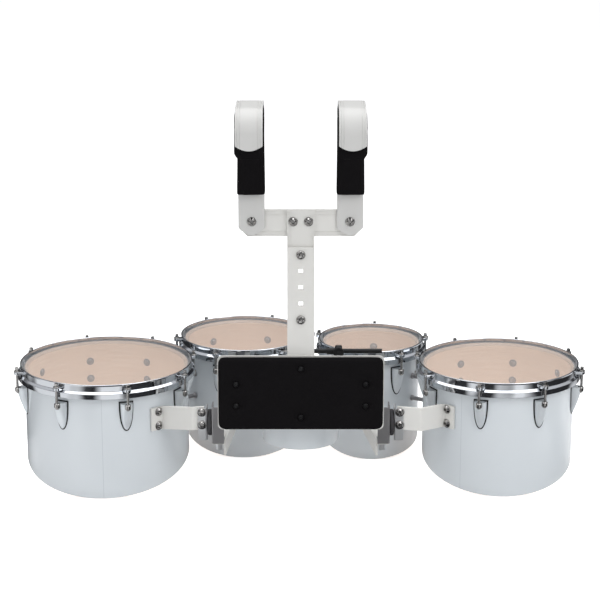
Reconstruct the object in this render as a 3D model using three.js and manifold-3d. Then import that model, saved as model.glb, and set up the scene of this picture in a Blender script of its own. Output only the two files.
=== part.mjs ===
// Marching tenor drums: five single-headed drums joined side by side, hung from a shoulder carrier.
// Millimetres, +Z up. The player stands on the -Y side, and +X is to the player's right.
// Heights are counted from a plane just under the hoop tops. At the end the model is set down on its
// lowest points, over the middle of its own footprint.
import * as THREE from 'three';
import { mergeVertices } from 'three/addons/utils/BufferGeometryUtils.js';
import Module from 'manifold-3d';

const wasm = await Module();
wasm.setup();

// Fits that every piece shares
const clearance = 0.3;
const overrun = 12;
const weldDepth = 0.2;
const samePoint = 0.001;

// Drum layout in plan: gaps between neighbouring shells, and the directions from drum to drum
const backPairX = 27.1;
const backPairY = 182.3;
const backPairGap = 41.8;
const leftPairGap = 49.1;
const rightPairGap = 49.3;
const backPairDegrees = -7.65;
const leftPairDegrees = 216.3;
const rightPairDegrees = -33.5;

// Shells
const frontLeftRadius = 165.1;
const backLeftRadius = 127;
const centerRadius = 76.2;
const backRightRadius = 101.6;
const frontRightRadius = 152.4;
const drumDepth = 236;
const centerDepth = 140;
const bottomSlopeShare = 0.27;
const shellWall = 7;
const bearingEdgeInset = 2;

// Head and flesh hoop
const headDrop = 4.5;
const filmThickness = 0.8;
const fleshHoopDrop = 17.2;
const fleshHoopHeight = 5.8;
const fleshHoopWidth = 10;
const collarOffset = 1.6;

// Counter hoop, radii counted outwards from the shell
const hoopInnerOffset = 6.4;
const hoopLipOffset = 9.4;
const hoopWaistOffset = 8.4;
const hoopFlangeOffset = 13.6;
const hoopMetal = 2.2;
const hoopRise = 1.5;
const hoopHeight = 28.5;
const hoopWaistDrop = 12.6;
const hoopStep = 4;

// Ears, tension rods and lugs
const rodOffset = 18;
const earReach = 24;
const earWidth = 15;
const earDrop = 6;
const earHeight = 6;
const rodRadius = 2.6;
const rodHeadRadius = 3.4;
const rodHeadHeight = 7;
const rodCollarRadius = 6.2;
const rodCollarHeight = 2;
const rodDepth = 58;
const rodSides = 5;
const lugTopDrop = 39;
const lugHeight = 56;
const lugWidth = 24;
const lugReach = 23;
const lugWellDepth = 26;
const lugRoundness = 0.7;
const lugSides = 4;
const boltHoleSides = 6;
const tubeSides = 10;
const boltSides = 8;
const isolatorSides = 16;
const plateCurveSteps = 3;
const bladeBendSteps = 5;

// Upright bars of the carrier
const barWidth = 52;
const barThickness = 5;
const barBackY = -170;
const barTop = 276.5;
const barBottom = -88;
const holeTop = 262;
const holePitch = 32.1;
const holeCount = 5;
const lowerBoltPitches = 4;
const squareHole = 8.5;
const stemTop = 348;
const stemBottom = 84;
const slotBottom = 90;
const slotWidth = 9;
const grooveWidth = 1.8;
const grooveDepth = 0.8;
const grooveInset = 4;
const stemBoltSpread = 29.4;

// Cross bar and shoulder blades
const crossBarLength = 218;
const crossBarHeight = 52;
const crossBarChamfer = 7;
const yokeBoltDrop = 22.5;
const bladeSpread = 186.8;
const bladeWidth = 50;
const bladeCrest = 563;
const bladeReach = 162;
const bladeTipDrop = 73;
const bladeTip = bladeCrest - bladeTipDrop;
const bladeBendRadius = 45;
const bladeEndSagitta = 14;
const bladeTipSagitta = 9;
const foamThickness = 14;
const foamWidth = 56;
const foamRise = 31;
const foamBottom = stemTop + foamRise;
const foamTipOverhang = 18;
const foamTaper = 6;
const foamEndWidthShare = 0.78;
const foamEndThicknessShare = 0.5;

// Across and through the foam: flat against the blade, crowned on the side that lies on the shoulder
const foamSectionShares = [
  [-0.5, -0.06], [-0.46, 0.3], [-0.26, 0.5], [0.26, 0.5], [0.46, 0.3], [0.5, -0.06],
  [0.46, -0.38], [0.34, -0.5], [-0.34, -0.5], [-0.46, -0.38],
];

// Belly plate and pad
const plateWidth = 323;
const plateTop = 62.8;
const plateHeight = 149.8;
const plateThickness = 3;
const plateCorner = 10;
const padSideMargin = 2.5;
const padTopMargin = 0.5;
const padBottomMargin = 2.2;
const padThickness = 14;
const padCorner = 12;
const padDrawIn = 4;
// Depth and draw-in of the pad's outlines, from its back to its flat crown
const padShares = [[0, 0.5], [0.3, 0], [0.7, 0], [0.9, 0.9], [1, 2.8]];
const sideScrewInset = 36;
const sideScrewX = plateWidth / 2 - sideScrewInset;
const sideScrewHigh = 8;
const sideScrewLow = -36;
const centerScrewHigh = 39;
const centerScrewLow = -59;
const screwHeadRadius = 5.6;
const screwHeadHeight = 3;
const screwRadius = 3;
const screwWellRadius = 6.8;
const screwWellDepth = 4;

// Standoffs of the center drum, and spacers between the other drums
const standoffLength = 21.8;
const standoffRadius = 9;
const standoffHigh = -40;
const standoffLow = -80;
const spacerRadius = 5;
const spacerHigh = -67;
const spacerLow = -115;
const hiddenBoltRadius = 3.5;
const hiddenHeadRadius = 8;
const hiddenHeadHeight = 5;

// Side channels, isolators and L-brackets
const channelOverhang = 12.5;
const channelWidth = 24;
const channelFlangeReach = 66;
const channelOuterX = plateWidth / 2 + channelOverhang;
const channelInnerX = channelOuterX - channelWidth;
const channelFlangeX = channelOuterX - channelFlangeReach;
const channelTop = -55;
const channelBottom = -118;
const channelFlangeTop = 20;
const channelFlangeBottom = -80;
const channelDepth = 40;
const channelMetal = 3;
const isolatorRadius = 26;
const isolatorThickness = 8;
const isolatorBack = 30;
const isolatorZ = -83;
const bracketFront = 9;
const bracketLegDepth = 30;
const bracketLegWidth = 15;
const bracketMetal = 3;
const bracketTop = -48;
const bracketHeight = 66;

// Outer and inner arms
const armThickness = 5;
const armHeight = 47;
const armZ = -68.5;
const armFall = 13.5;
const armBendRadius = 7;
const leftArmRun = 24;
const rightArmRun = 46;
const armFlangeInner = 9;
const armFlangeOuter = 17;
const leftArmDegrees = 42;
const rightArmDegrees = -45.2;
const armBoltPitch = 26;
const armDrumBoltPitch = 29;
const innerArmMetal = 4;
const innerArmLeg = 22;
const innerArmHeight = 34;
const innerArmFlange = 32;
const innerArmSetback = 29;
const innerArmLegShare = 0.8;
const backLeftArmDegrees = 3;
const backRightArmDegrees = -24;

// Accessory rod and its clamp
const rodBarRadius = 4.6;
const rodBarLength = 150;
const rodBarLeft = 7;
const rodBarRise = 5.7;
const clampX = 73;
const clampWidth = 14;
const clampHeight = 24;
const clampDepth = 16;
const clampNeckLength = 16;
const clampNeckRadius = 6.6;
const clampFootWidth = 24;
const clampFootHeight = 32;
const clampFootThickness = 4;
const clampSides = 12;

// Bolt sizes
const boltRadius = 4;
const boltHeadRadius = 9;
const boltHeadHeight = 5;
const boltCrownShare = 0.6;
const nutRadius = 7;
const nutHeight = 5;

const colours = {
  shell: 0xdde2e6, harness: 0xe0ddd6, blade: 0xd8d7d3, chrome: 0xc9ccd0,
  film: 0xe6dccf, pad: 0x151416, grey: 0x7c7a7c, rubber: 0x3b3a3d, blackSteel: 0x1b1a1c,
};

const finish = (color, roughness, metalness) => (
  new THREE.MeshStandardMaterial({ color, roughness, metalness })
);
const materials = {
  shell: finish(colours.shell, 0.3, 0),
  harness: finish(colours.harness, 0.45, 0),
  blade: finish(colours.blade, 0.45, 0),
  chrome: finish(colours.chrome, 0.12, 1),
  film: finish(colours.film, 0.2, 0),
  pad: finish(colours.pad, 0.95, 0),
  grey: finish(colours.grey, 0.4, 0.8),
  rubber: finish(colours.rubber, 0.85, 0),
  blackSteel: finish(colours.blackSteel, 0.4, 0.6),
};

const model = new THREE.Group();
const radians = THREE.MathUtils.degToRad;

// Leaves only shared positions, drops flat triangles and turns the faces outwards.
function weld(geometry) {
  const bare = geometry.clone();
  bare.deleteAttribute('normal');
  bare.deleteAttribute('uv');
  bare.clearGroups();
  const merged = mergeVertices(bare);
  const index = merged.index.array;
  const position = merged.attributes.position;
  const [a, b, c] = [new THREE.Vector3(), new THREE.Vector3(), new THREE.Vector3()];
  const kept = [];
  let volume = 0;
  for (let i = 0; i < index.length; i += 3) {
    const corners = [index[i], index[i + 1], index[i + 2]];
    if (new Set(corners).size < corners.length) continue;
    a.fromBufferAttribute(position, corners[0]);
    b.fromBufferAttribute(position, corners[1]);
    c.fromBufferAttribute(position, corners[2]);
    volume += a.dot(b.cross(c));
    kept.push(...corners);
  }
  merged.setIndex(volume < 0 ? kept.reverse() : kept);
  return merged;
}

function toSolid(geometry) {
  const welded = weld(geometry);
  const vertProperties = new Float32Array(welded.attributes.position.array);
  const triVerts = new Uint32Array(welded.index.array);
  return new wasm.Manifold(new wasm.Mesh({ numProp: 3, vertProperties, triVerts }));
}

function toGeometry(solid) {
  const mesh = solid.getMesh();
  const geometry = new THREE.BufferGeometry();
  geometry.setAttribute('position', new THREE.BufferAttribute(new Float32Array(mesh.vertProperties), 3));
  geometry.setIndex(new THREE.BufferAttribute(new Uint32Array(mesh.triVerts), 1));
  return geometry;
}

function combine(geometry, others, operation) {
  let solid = toSolid(geometry);
  for (const other of others) solid = solid[operation](toSolid(other));
  return toGeometry(solid);
}

const cut = (geometry, tools) => combine(geometry, tools, 'subtract');
const join = (geometry, others) => combine(geometry, others, 'add');
const common = (geometry, others) => combine(geometry, others, 'intersect');

function addPiece(name, geometry, material, parent = model) {
  const finished = weld(geometry);
  finished.computeVertexNormals();
  const mesh = new THREE.Mesh(finished, material);
  mesh.name = name;
  parent.add(mesh);
  return mesh;
}

// A turned solid round the Z axis, from [radius, height] pairs
function turned(profile, facets) {
  const points = profile.map(([radius, height]) => new THREE.Vector2(radius, height));
  if (profile[0][0] > 0) points.push(points[0].clone());
  return new THREE.LatheGeometry(points, facets).rotateX(Math.PI / 2);
}

// A turned solid whose axis starts at a point and runs along a direction
function turnedAlong(profile, facets, start, direction) {
  const up = new THREE.Vector3(0, 0, 1);
  const turn = new THREE.Quaternion().setFromUnitVectors(up, direction.clone().normalize());
  return turned(profile, facets).applyQuaternion(turn).translate(start.x, start.y, start.z);
}

function rod(radius, length, facets) {
  return turned([[0, 0], [radius, 0], [radius, length], [0, length]], facets);
}

function rodAlong(radius, length, facets, start, direction) {
  return turnedAlong([[0, 0], [radius, 0], [radius, length], [0, length]], facets, start, direction);
}

// A box from its lowest corner to its highest corner
function block(low, high) {
  const [dx, dy, dz] = high.map((value, axis) => value - low[axis]);
  return new THREE.BoxGeometry(dx, dy, dz).translate(low[0] + dx / 2, low[1] + dy / 2, low[2] + dz / 2);
}

// A plate that stands facing the player: the shape is drawn in X and Z, its back is at backY
function uprightPlate(shape, thickness, backY, curveSegments = 5) {
  const options = { depth: thickness, bevelEnabled: false, curveSegments };
  return new THREE.ExtrudeGeometry(shape, options).rotateX(Math.PI / 2).translate(0, backY, 0);
}

function roundedRectangle(x0, z0, width, height, corner) {
  const shape = new THREE.Shape();
  const [x1, z1] = [x0 + width, z0 + height];
  shape.moveTo(x0 + corner, z0);
  shape.lineTo(x1 - corner, z0);
  shape.absarc(x1 - corner, z0 + corner, corner, -Math.PI / 2, 0, false);
  shape.absarc(x1 - corner, z1 - corner, corner, 0, Math.PI / 2, false);
  shape.absarc(x0 + corner, z1 - corner, corner, Math.PI / 2, Math.PI, false);
  shape.absarc(x0 + corner, z0 + corner, corner, Math.PI, 1.5 * Math.PI, false);
  return shape;
}

function rectangle(x0, z0, width, height) {
  const corners = [[x0, z0], [x0 + width, z0], [x0 + width, z0 + height], [x0, z0 + height]];
  return new THREE.Shape(corners.map(([x, z]) => new THREE.Vector2(x, z)));
}

function roundHole(x, z, radius, sides = boltHoleSides) {
  return new THREE.Path(Array.from({ length: sides }, (_, i) => {
    const angle = -2 * Math.PI * i / sides;
    return new THREE.Vector2(x + radius * Math.cos(angle), z + radius * Math.sin(angle));
  }));
}

// The points of a closed outline, its first point not repeated at the end
function openPoints(shape, divisions) {
  const points = shape.getPoints(divisions);
  const gapAfter = (point, i) => point.distanceTo(points[(i + 1) % points.length]);
  return points.filter((point, i) => i === 0 || gapAfter(point, i) > samePoint);
}

// The radius of a hole of so many sides that a round shank turns in
const bored = (radius, sides = boltHoleSides) => (radius + clearance) / Math.cos(Math.PI / sides);

const acrossPlus = new THREE.Vector3(1, 0, 0);
const towardAudience = new THREE.Vector3(0, 1, 0);

// A cutter for a hole that a round shank turns in, through whatever lies on its axis
const boltHole = (shank, start, direction) => (
  rodAlong(bored(shank), 2 * overrun, boltHoleSides, start, direction)
);

function squareHoleAt(x, z, side) {
  const half = side / 2;
  const corners = [[x - half, z - half], [x - half, z + half], [x + half, z + half], [x + half, z - half]];
  return new THREE.Path(corners.map(([px, pz]) => new THREE.Vector2(px, pz)));
}

// A solid through rings of as many points each, closed by a fan at both ends
function loft(rings) {
  const corners = [];
  const face = (...points) => points.forEach((point) => corners.push(point.x, point.y, point.z));
  const count = rings[0].length;
  const last = rings[rings.length - 1];
  for (let i = 0; i < count; i++) {
    const next = (i + 1) % count;
    for (let level = 0; level < rings.length - 1; level++) {
      face(rings[level][i], rings[level][next], rings[level + 1][i]);
      face(rings[level][next], rings[level + 1][next], rings[level + 1][i]);
    }
    if (i > 0 && i < count - 1) {
      face(rings[0][0], rings[0][i + 1], rings[0][i]);
      face(last[0], last[i], last[i + 1]);
    }
  }
  const geometry = new THREE.BufferGeometry();
  geometry.setAttribute('position', new THREE.Float32BufferAttribute(corners, 3));
  return geometry;
}

// A line through the given corners, each rounded by a bend, as stations with their sideways direction
function roundedLine(corners, bendRadius, bendSteps = 4) {
  const line = [corners[0]];
  for (let i = 1; i < corners.length - 1; i++) {
    const into = corners[i].clone().sub(corners[i - 1]).normalize();
    const out = corners[i + 1].clone().sub(corners[i]).normalize();
    const turn = Math.atan2(into.cross(out), into.dot(out));
    const setback = bendRadius * Math.tan(Math.abs(turn) / 2);
    const start = corners[i].clone().addScaledVector(into, -setback);
    const side = Math.sign(turn);
    const centre = new THREE.Vector2(-into.y * side, into.x * side).multiplyScalar(bendRadius).add(start);
    const steps = setback > samePoint ? bendSteps : 0;
    for (let step = 0; step <= steps; step++) {
      line.push(start.clone().rotateAround(centre, turn * step / Math.max(steps, 1)));
    }
  }
  line.push(corners[corners.length - 1]);
  return line.map((point, i) => {
    const before = point.clone().sub(line[Math.max(i - 1, 0)]).normalize();
    const after = line[Math.min(i + 1, line.length - 1)].clone().sub(point).normalize();
    const along = before.clone().add(after).normalize();
    const share = along.dot(i > 0 ? before : after);
    return { point, sideways: new THREE.Vector2(-along.y, along.x).divideScalar(share) };
  });
}

// The outline of a bent strip with a thickness
function stripOutline(corners, thickness, bendRadius, bendSteps) {
  const line = roundedLine(corners, bendRadius, bendSteps);
  const left = line.map(({ point, sideways }) => point.clone().addScaledVector(sideways, thickness / 2));
  const right = line.map(({ point, sideways }) => point.clone().addScaledVector(sideways, -thickness / 2));
  return [...left, ...right.reverse()];
}

const place = (x, y) => new THREE.Vector2(x, y);

// A bent strip that stands on edge: drawn in X and Y, from one height to another
function standingStrip(corners, thickness, bendRadius, low, high) {
  const shape = new THREE.Shape(stripOutline(corners, thickness, bendRadius));
  return new THREE.ExtrudeGeometry(shape, { depth: high - low, bevelEnabled: false }).translate(0, 0, low);
}

// Lays what was drawn in Y and Z, and pulled out along Z, from x0 along X
const layAcross = (x0) => new THREE.Matrix4().set(0, 0, 1, x0, 1, 0, 0, 0, 0, 1, 0, 0, 0, 0, 0, 1);

// A strip drawn in Y and Z, as wide as asked along X
function sideStrip(corners, thickness, bendRadius, x0, width, bendSteps) {
  const shape = new THREE.Shape(stripOutline(corners, thickness, bendRadius, bendSteps));
  const strip = new THREE.ExtrudeGeometry(shape, { depth: width, bevelEnabled: false });
  return strip.applyMatrix4(layAcross(x0));
}

// A fastener through a stack: head, shank and nut on one axis, starting at the head's bearing face
function throughBolt(start, direction, grip, facets = boltHoleSides) {
  const profile = [
    [0, -boltHeadHeight], [boltHeadRadius * boltCrownShare, -boltHeadHeight],
    [boltHeadRadius, 0], [boltRadius, 0],
    [boltRadius, grip], [nutRadius, grip], [nutRadius, grip + nutHeight], [0, grip + nutHeight],
  ];
  return turnedAlong(profile, facets, start, direction);
}

// A bolt whose far end is hidden in what it holds
function blindBolt(start, direction, depth, headRadius = hiddenHeadRadius, headHeight = hiddenHeadHeight,
  shankRadius = hiddenBoltRadius, facets = boltHoleSides) {
  const profile = [[0, -headHeight], [headRadius, -headHeight], [headRadius, 0], [shankRadius, 0],
    [shankRadius, depth], [0, depth]];
  return turnedAlong(profile, facets, start, direction);
}

const direction = (degrees) => new THREE.Vector2(Math.cos(radians(degrees)), Math.sin(radians(degrees)));

// Angles round a drum are counted from its player side, and grow towards +X
const outward = (degrees) => new THREE.Vector2(Math.sin(radians(degrees)), -Math.cos(radians(degrees)));
const angleTo = (from, to) => THREE.MathUtils.radToDeg(Math.atan2(to.x - from.x, from.y - to.y));

// Centres of the drums
const backPair = place(backPairX, backPairY);
const alongBack = direction(backPairDegrees);
const backLeftCentre = backPair.clone().addScaledVector(alongBack, -(backPairGap / 2 + backLeftRadius));
const backRightCentre = backPair.clone().addScaledVector(alongBack, backPairGap / 2 + backRightRadius);
const leftStep = backLeftRadius + leftPairGap + frontLeftRadius;
const frontLeftCentre = backLeftCentre.clone().addScaledVector(direction(leftPairDegrees), leftStep);
const rightStep = backRightRadius + rightPairGap + frontRightRadius;
const frontRightCentre = backRightCentre.clone().addScaledVector(direction(rightPairDegrees), rightStep);
const centerCentre = place(0, barBackY + standoffLength + centerRadius);

const drums = {
  front_left: { centre: frontLeftCentre, radius: frontLeftRadius, depth: drumDepth,
    slopeShare: bottomSlopeShare, lugs: 8, firstLug: 18.7, facetsPerLug: 3 },
  back_left: { centre: backLeftCentre, radius: backLeftRadius, depth: drumDepth, slopeShare: bottomSlopeShare,
    lugs: 6, firstLug: -23, facetsPerLug: 4 },
  center: { centre: centerCentre, radius: centerRadius, depth: centerDepth, slopeShare: 0,
    lugs: 4, firstLug: 45, facetsPerLug: 5 },
  back_right: { centre: backRightCentre, radius: backRightRadius, depth: drumDepth,
    slopeShare: bottomSlopeShare, lugs: 5, firstLug: 30, facetsPerLug: 4 },
  front_right: { centre: frontRightCentre, radius: frontRightRadius, depth: drumDepth,
    slopeShare: bottomSlopeShare, lugs: 8, firstLug: -18.5, facetsPerLug: 3 },
};

for (const drum of Object.values(drums)) {
  drum.facets = drum.lugs * drum.facetsPerLug;
  drum.flat = Math.cos(Math.PI / drum.facets);
  drum.face = drum.radius * drum.flat;
  drum.lugAngles = Array.from({ length: drum.lugs }, (_, i) => drum.firstLug + i * 360 / drum.lugs);
  drum.bolts = [];
}

// A ring turned so that the middle of a facet faces each lug
function drumRing(drum, profile) {
  const start = radians(drum.firstLug) - Math.PI / 2 + Math.PI / drum.facets;
  return turned(profile, drum.facets).rotateZ(start + Math.PI / 2);
}

// Moves a geometry made for the player side of a drum to an angle round that drum
function roundDrum(drum, geometry, degrees) {
  return geometry.clone().rotateZ(radians(degrees)).translate(drum.centre.x, drum.centre.y, 0);
}

const atDrum = (drum, geometry) => geometry.translate(drum.centre.x, drum.centre.y, 0);

// The point on a drum at an angle, a distance from its axis and a height
function drumPoint(drum, degrees, radius, z) {
  const point = drum.centre.clone().addScaledVector(outward(degrees), radius);
  return new THREE.Vector3(point.x, point.y, z);
}

// How far from a drum's axis a flat fastener head of a given radius can seat inside its shell
const seatInside = (drum, headRadius) => (
  (drum.radius - shellWall) * drum.flat - headRadius ** 2 / drum.radius - clearance
);

const inwards = (degrees) => new THREE.Vector3(-outward(degrees).x, -outward(degrees).y, 0);

// Bolts that pass through the shells, listed before the shells are made so that each gets its hole
const holdBolt = (drum, degrees, z) => drum.bolts.push({ degrees, z });
const armDrumZ = armZ - armFall;
for (const side of [-0.5, 0.5]) {
  holdBolt(drums.front_left, leftArmDegrees, armDrumZ + side * armDrumBoltPitch);
  holdBolt(drums.front_right, rightArmDegrees, armDrumZ + side * armDrumBoltPitch);
}
const innerArmTop = channelBottom - clearance;
const innerArmBoltZ = innerArmTop - innerArmHeight / 2;
holdBolt(drums.back_left, backLeftArmDegrees, innerArmBoltZ);
holdBolt(drums.back_right, backRightArmDegrees, innerArmBoltZ);
for (const z of [standoffHigh, standoffLow]) holdBolt(drums.center, 0, z);
const drumPairs = [
  ['front_left', drums.front_left, drums.back_left],
  ['back', drums.back_left, drums.back_right],
  ['front_right', drums.back_right, drums.front_right],
];
const spacers = drumPairs.flatMap(([name, one, other]) => [
  { name: `${name}_upper_spacer`, one, other, z: spacerHigh },
  { name: `${name}_spacer`, one, other, z: spacerLow },
]);
for (const { one, other, z } of spacers) {
  holdBolt(one, angleTo(one.centre, other.centre), z);
  holdBolt(other, angleTo(other.centre, one.centre), z);
}

// Down, width and reach of a lug's levels, as shares of its height, width and reach
const lugShares = [[0, 1, 1], [0.3, 0.96, 0.92], [0.62, 0.74, 0.6], [1, 0.12, 0.1]];

// One lug: flat top, back and well for the rod, sides that close to a point below
function makeLugBody() {
  const rings = lugShares.map(([downShare, widthShare, reachShare]) => (
    Array.from({ length: lugSides + 1 }, (_, i) => {
      const angle = Math.PI * i / lugSides;
      const x = Math.cos(angle) * lugWidth / 2 * widthShare;
      const y = -(Math.sin(angle) ** lugRoundness) * lugReach * reachShare;
      return new THREE.Vector3(x, y, -downShare * lugHeight);
    })
  ));
  const body = loft(rings);
  const well = rod(bored(rodRadius, rodSides), lugWellDepth + overrun, rodSides);
  return cut(body, [well.translate(0, -rodOffset, -lugWellDepth)]);
}

const lugBody = makeLugBody();

function makeShell(drum) {
  const edgeTop = -headDrop - filmThickness - clearance;
  const outer = drum.radius;
  const inner = outer - shellWall;
  const peak = outer - bearingEdgeInset;
  const ring = weld(drumRing(drum, [
    [outer, -drum.depth], [outer, edgeTop - bearingEdgeInset], [peak, edgeTop],
    [inner, edgeTop - shellWall + bearingEdgeInset], [inner, -drum.depth],
  ]));
  const position = ring.attributes.position;
  for (let i = 0; i < position.count; i++) {
    if (position.getZ(i) > -drum.depth + clearance) continue;
    position.setZ(i, -drum.depth + drum.slopeShare * (position.getY(i) + drum.face));
  }
  const holes = drum.bolts.map(({ degrees, z }) => {
    const start = inwards(degrees).multiplyScalar(-(outer + overrun)).setZ(z);
    return rodAlong(bored(hiddenBoltRadius), shellWall + 2 * overrun, boltHoleSides, start, inwards(degrees));
  });
  const lug = lugBody.clone().translate(0, weldDepth - drum.face, -lugTopDrop);
  const fitted = join(ring, drum.lugAngles.map((degrees) => lug.clone().rotateZ(radians(degrees))));
  return atDrum(drum, cut(fitted, holes));
}

function makeHead(drum) {
  const outer = drum.radius + collarOffset;
  const inner = outer - filmThickness;
  const hoopOuter = outer + fleshHoopWidth;
  const hoopBottom = -fleshHoopDrop - fleshHoopHeight;
  return atDrum(drum, drumRing(drum, [
    [0, -headDrop], [outer, -headDrop], [outer, -fleshHoopDrop], [hoopOuter, -fleshHoopDrop],
    [hoopOuter, hoopBottom], [inner, hoopBottom], [inner, -headDrop - filmThickness],
    [0, -headDrop - filmThickness],
  ]));
}

function makeHoop(drum) {
  const at = (offset) => drum.radius + offset;
  const seat = -fleshHoopDrop + clearance;
  const bottom = hoopRise - hoopHeight;
  const ring = drumRing(drum, [
    [at(hoopInnerOffset), seat], [at(hoopInnerOffset), hoopRise], [at(hoopLipOffset), hoopRise],
    [at(hoopWaistOffset), -hoopWaistDrop], [at(hoopFlangeOffset), -hoopWaistDrop - hoopStep],
    [at(hoopFlangeOffset), bottom], [at(hoopFlangeOffset - hoopMetal / 2), bottom],
    [at(hoopFlangeOffset - hoopMetal / 2), seat],
  ]);
  const earRoot = at(hoopInnerOffset) * drum.flat + hoopMetal / 2;
  const ear = new THREE.Shape();
  ear.moveTo(earWidth / 2, -earRoot);
  ear.lineTo(-earWidth / 2, -earRoot);
  ear.absarc(0, earWidth / 2 - drum.face - earReach, earWidth / 2, Math.PI, 2 * Math.PI, false);
  const options = { depth: earHeight, bevelEnabled: false, curveSegments: 2 };
  const earSolid = new THREE.ExtrudeGeometry(ear, options).translate(0, 0, -earDrop - earHeight);
  const fittings = drum.lugAngles.flatMap((degrees) => [earSolid, makeRod(drum)].map((piece) => (
    piece.clone().rotateZ(radians(degrees))
  )));
  return atDrum(drum, join(ring, fittings));
}

// A tension rod with its square-shouldered head, on the player side of a drum
function makeRod(drum) {
  const seat = -earDrop - weldDepth;
  const neck = -earDrop + rodCollarHeight;
  const top = neck + rodHeadHeight;
  return turned([
    [0, -rodDepth], [rodRadius, -rodDepth], [rodRadius, seat], [rodCollarRadius, seat],
    [rodHeadRadius, neck], [rodHeadRadius, top], [0, top],
  ], rodSides).translate(0, -drum.face - rodOffset, 0);
}

for (const [name, drum] of Object.entries(drums)) {
  addPiece(`${name}_shell`, makeShell(drum), materials.shell);
  addPiece(`${name}_head`, makeHead(drum), materials.film);
  addPiece(`${name}_hoop`, makeHoop(drum), materials.chrome);
}

// A tube with a bolt in each end, its heads inside the two shells that it holds apart
function makeSpacer({ one, other, z }) {
  const angle = angleTo(one.centre, other.centre);
  const back = angleTo(other.centre, one.centre);
  const start = drumPoint(one, angle, one.radius + clearance, z);
  const end = drumPoint(other, back, other.radius + clearance, z);
  const along = end.clone().sub(start);
  const bolts = [[one, angle], [other, back]].map(([drum, degrees]) => {
    const seat = seatInside(drum, hiddenHeadRadius);
    const reach = drum.radius - seat + 2 * spacerRadius;
    return blindBolt(drumPoint(drum, degrees, seat, z), inwards(degrees).negate(), reach);
  });
  return join(rodAlong(spacerRadius, along.length(), tubeSides, start, along), bolts);
}
for (const spacer of spacers) addPiece(spacer.name, makeSpacer(spacer), materials.grey);

// Standoffs that carry the center drum on the lower bar, each with its bolt from inside the shell
for (const [name, z] of [['upper_standoff', standoffHigh], ['lower_standoff', standoffLow]]) {
  const start = new THREE.Vector3(centerCentre.x, barBackY + clearance, z);
  const seat = seatInside(drums.center, hiddenHeadRadius);
  const reach = drums.center.radius - seat + standoffLength + barThickness / 2;
  const length = standoffLength - 2 * clearance;
  const tube = rodAlong(standoffRadius, length, tubeSides, start, towardAudience);
  const bolt = blindBolt(drumPoint(drums.center, 0, seat, z), inwards(0).negate(), reach);
  addPiece(name, join(tube, [bolt]), materials.harness);
}

// Lower bar: square holes down its middle, and round ones for the standoffs and the plate's screws
const barFrontY = barBackY - barThickness;
const barShape = rectangle(-barWidth / 2, barBottom, barWidth, barTop - barBottom);
for (let i = 0; i < holeCount; i++) barShape.holes.push(squareHoleAt(0, holeTop - i * holePitch, squareHole));
for (const z of [standoffHigh, standoffLow]) barShape.holes.push(roundHole(0, z, bored(hiddenBoltRadius)));
for (const z of [centerScrewHigh, centerScrewLow]) barShape.holes.push(roundHole(0, z, bored(screwRadius)));
addPiece('lower_bar', uprightPlate(barShape, barThickness, barBackY, plateCurveSteps), materials.harness);

// Lengthwise grooves near the edges of a bar: their places across it, counted from its middle
function grooveCentres(width) {
  const outer = width / 2 - grooveInset;
  return [-outer, outer];
}

// T-stem, behind the lower bar. It slides up on its slot.
const yoke = new THREE.Group();
model.add(yoke);
const stemBackY = barBackY + clearance + barThickness;
const stemFrontY = stemBackY - barThickness;
const yokeBoltZ = stemTop - yokeBoltDrop;
const stemShape = rectangle(-barWidth / 2, stemBottom, barWidth, stemTop - stemBottom);
const slotTop = holeTop + slotWidth / 2 + clearance;
const slot = roundedRectangle(-slotWidth / 2, slotBottom, slotWidth, slotTop - slotBottom, slotWidth / 2);
stemShape.holes.push(new THREE.Path(openPoints(slot, plateCurveSteps).reverse()));
for (const side of [-0.5, 0.5]) {
  stemShape.holes.push(roundHole(side * stemBoltSpread, yokeBoltZ, bored(boltRadius)));
}
const stemGrooves = grooveCentres(barWidth).map((x) => block(
  [x - grooveWidth / 2, stemFrontY - overrun, barTop + clearance],
  [x + grooveWidth / 2, stemFrontY + grooveDepth, stemTop + overrun],
));
const stem = cut(uprightPlate(stemShape, barThickness, stemBackY, plateCurveSteps), stemGrooves);
addPiece('t_stem', stem, materials.harness, yoke);

// Cross bar, behind the stem and the blades, its lower corners cut off
const crossBackY = stemBackY + clearance + barThickness;
const crossFrontY = crossBackY - barThickness;
const crossBottom = stemTop - crossBarHeight;
const crossHalf = crossBarLength / 2;
const crossShape = new THREE.Shape([
  place(-crossHalf + crossBarChamfer, crossBottom), place(crossHalf - crossBarChamfer, crossBottom),
  place(crossHalf, crossBottom + crossBarChamfer), place(crossHalf, stemTop),
  place(-crossHalf, stemTop), place(-crossHalf, crossBottom + crossBarChamfer),
]);
const yokeBoltXs = [-bladeSpread / 2, -stemBoltSpread / 2, stemBoltSpread / 2, bladeSpread / 2];
for (const x of yokeBoltXs) crossShape.holes.push(roundHole(x, yokeBoltZ, bored(boltRadius)));
const crossMiddle = (stemTop + crossBottom) / 2;
const crossGrooves = grooveCentres(crossBarHeight).map((z) => block(
  [-crossHalf - overrun, crossFrontY - overrun, crossMiddle + z - grooveWidth / 2],
  [crossHalf + overrun, crossFrontY + grooveDepth, crossMiddle + z + grooveWidth / 2],
));
const crossBar = cut(uprightPlate(crossShape, barThickness, crossBackY, plateCurveSteps), crossGrooves);
addPiece('cross_bar', crossBar, materials.harness, yoke);

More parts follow.
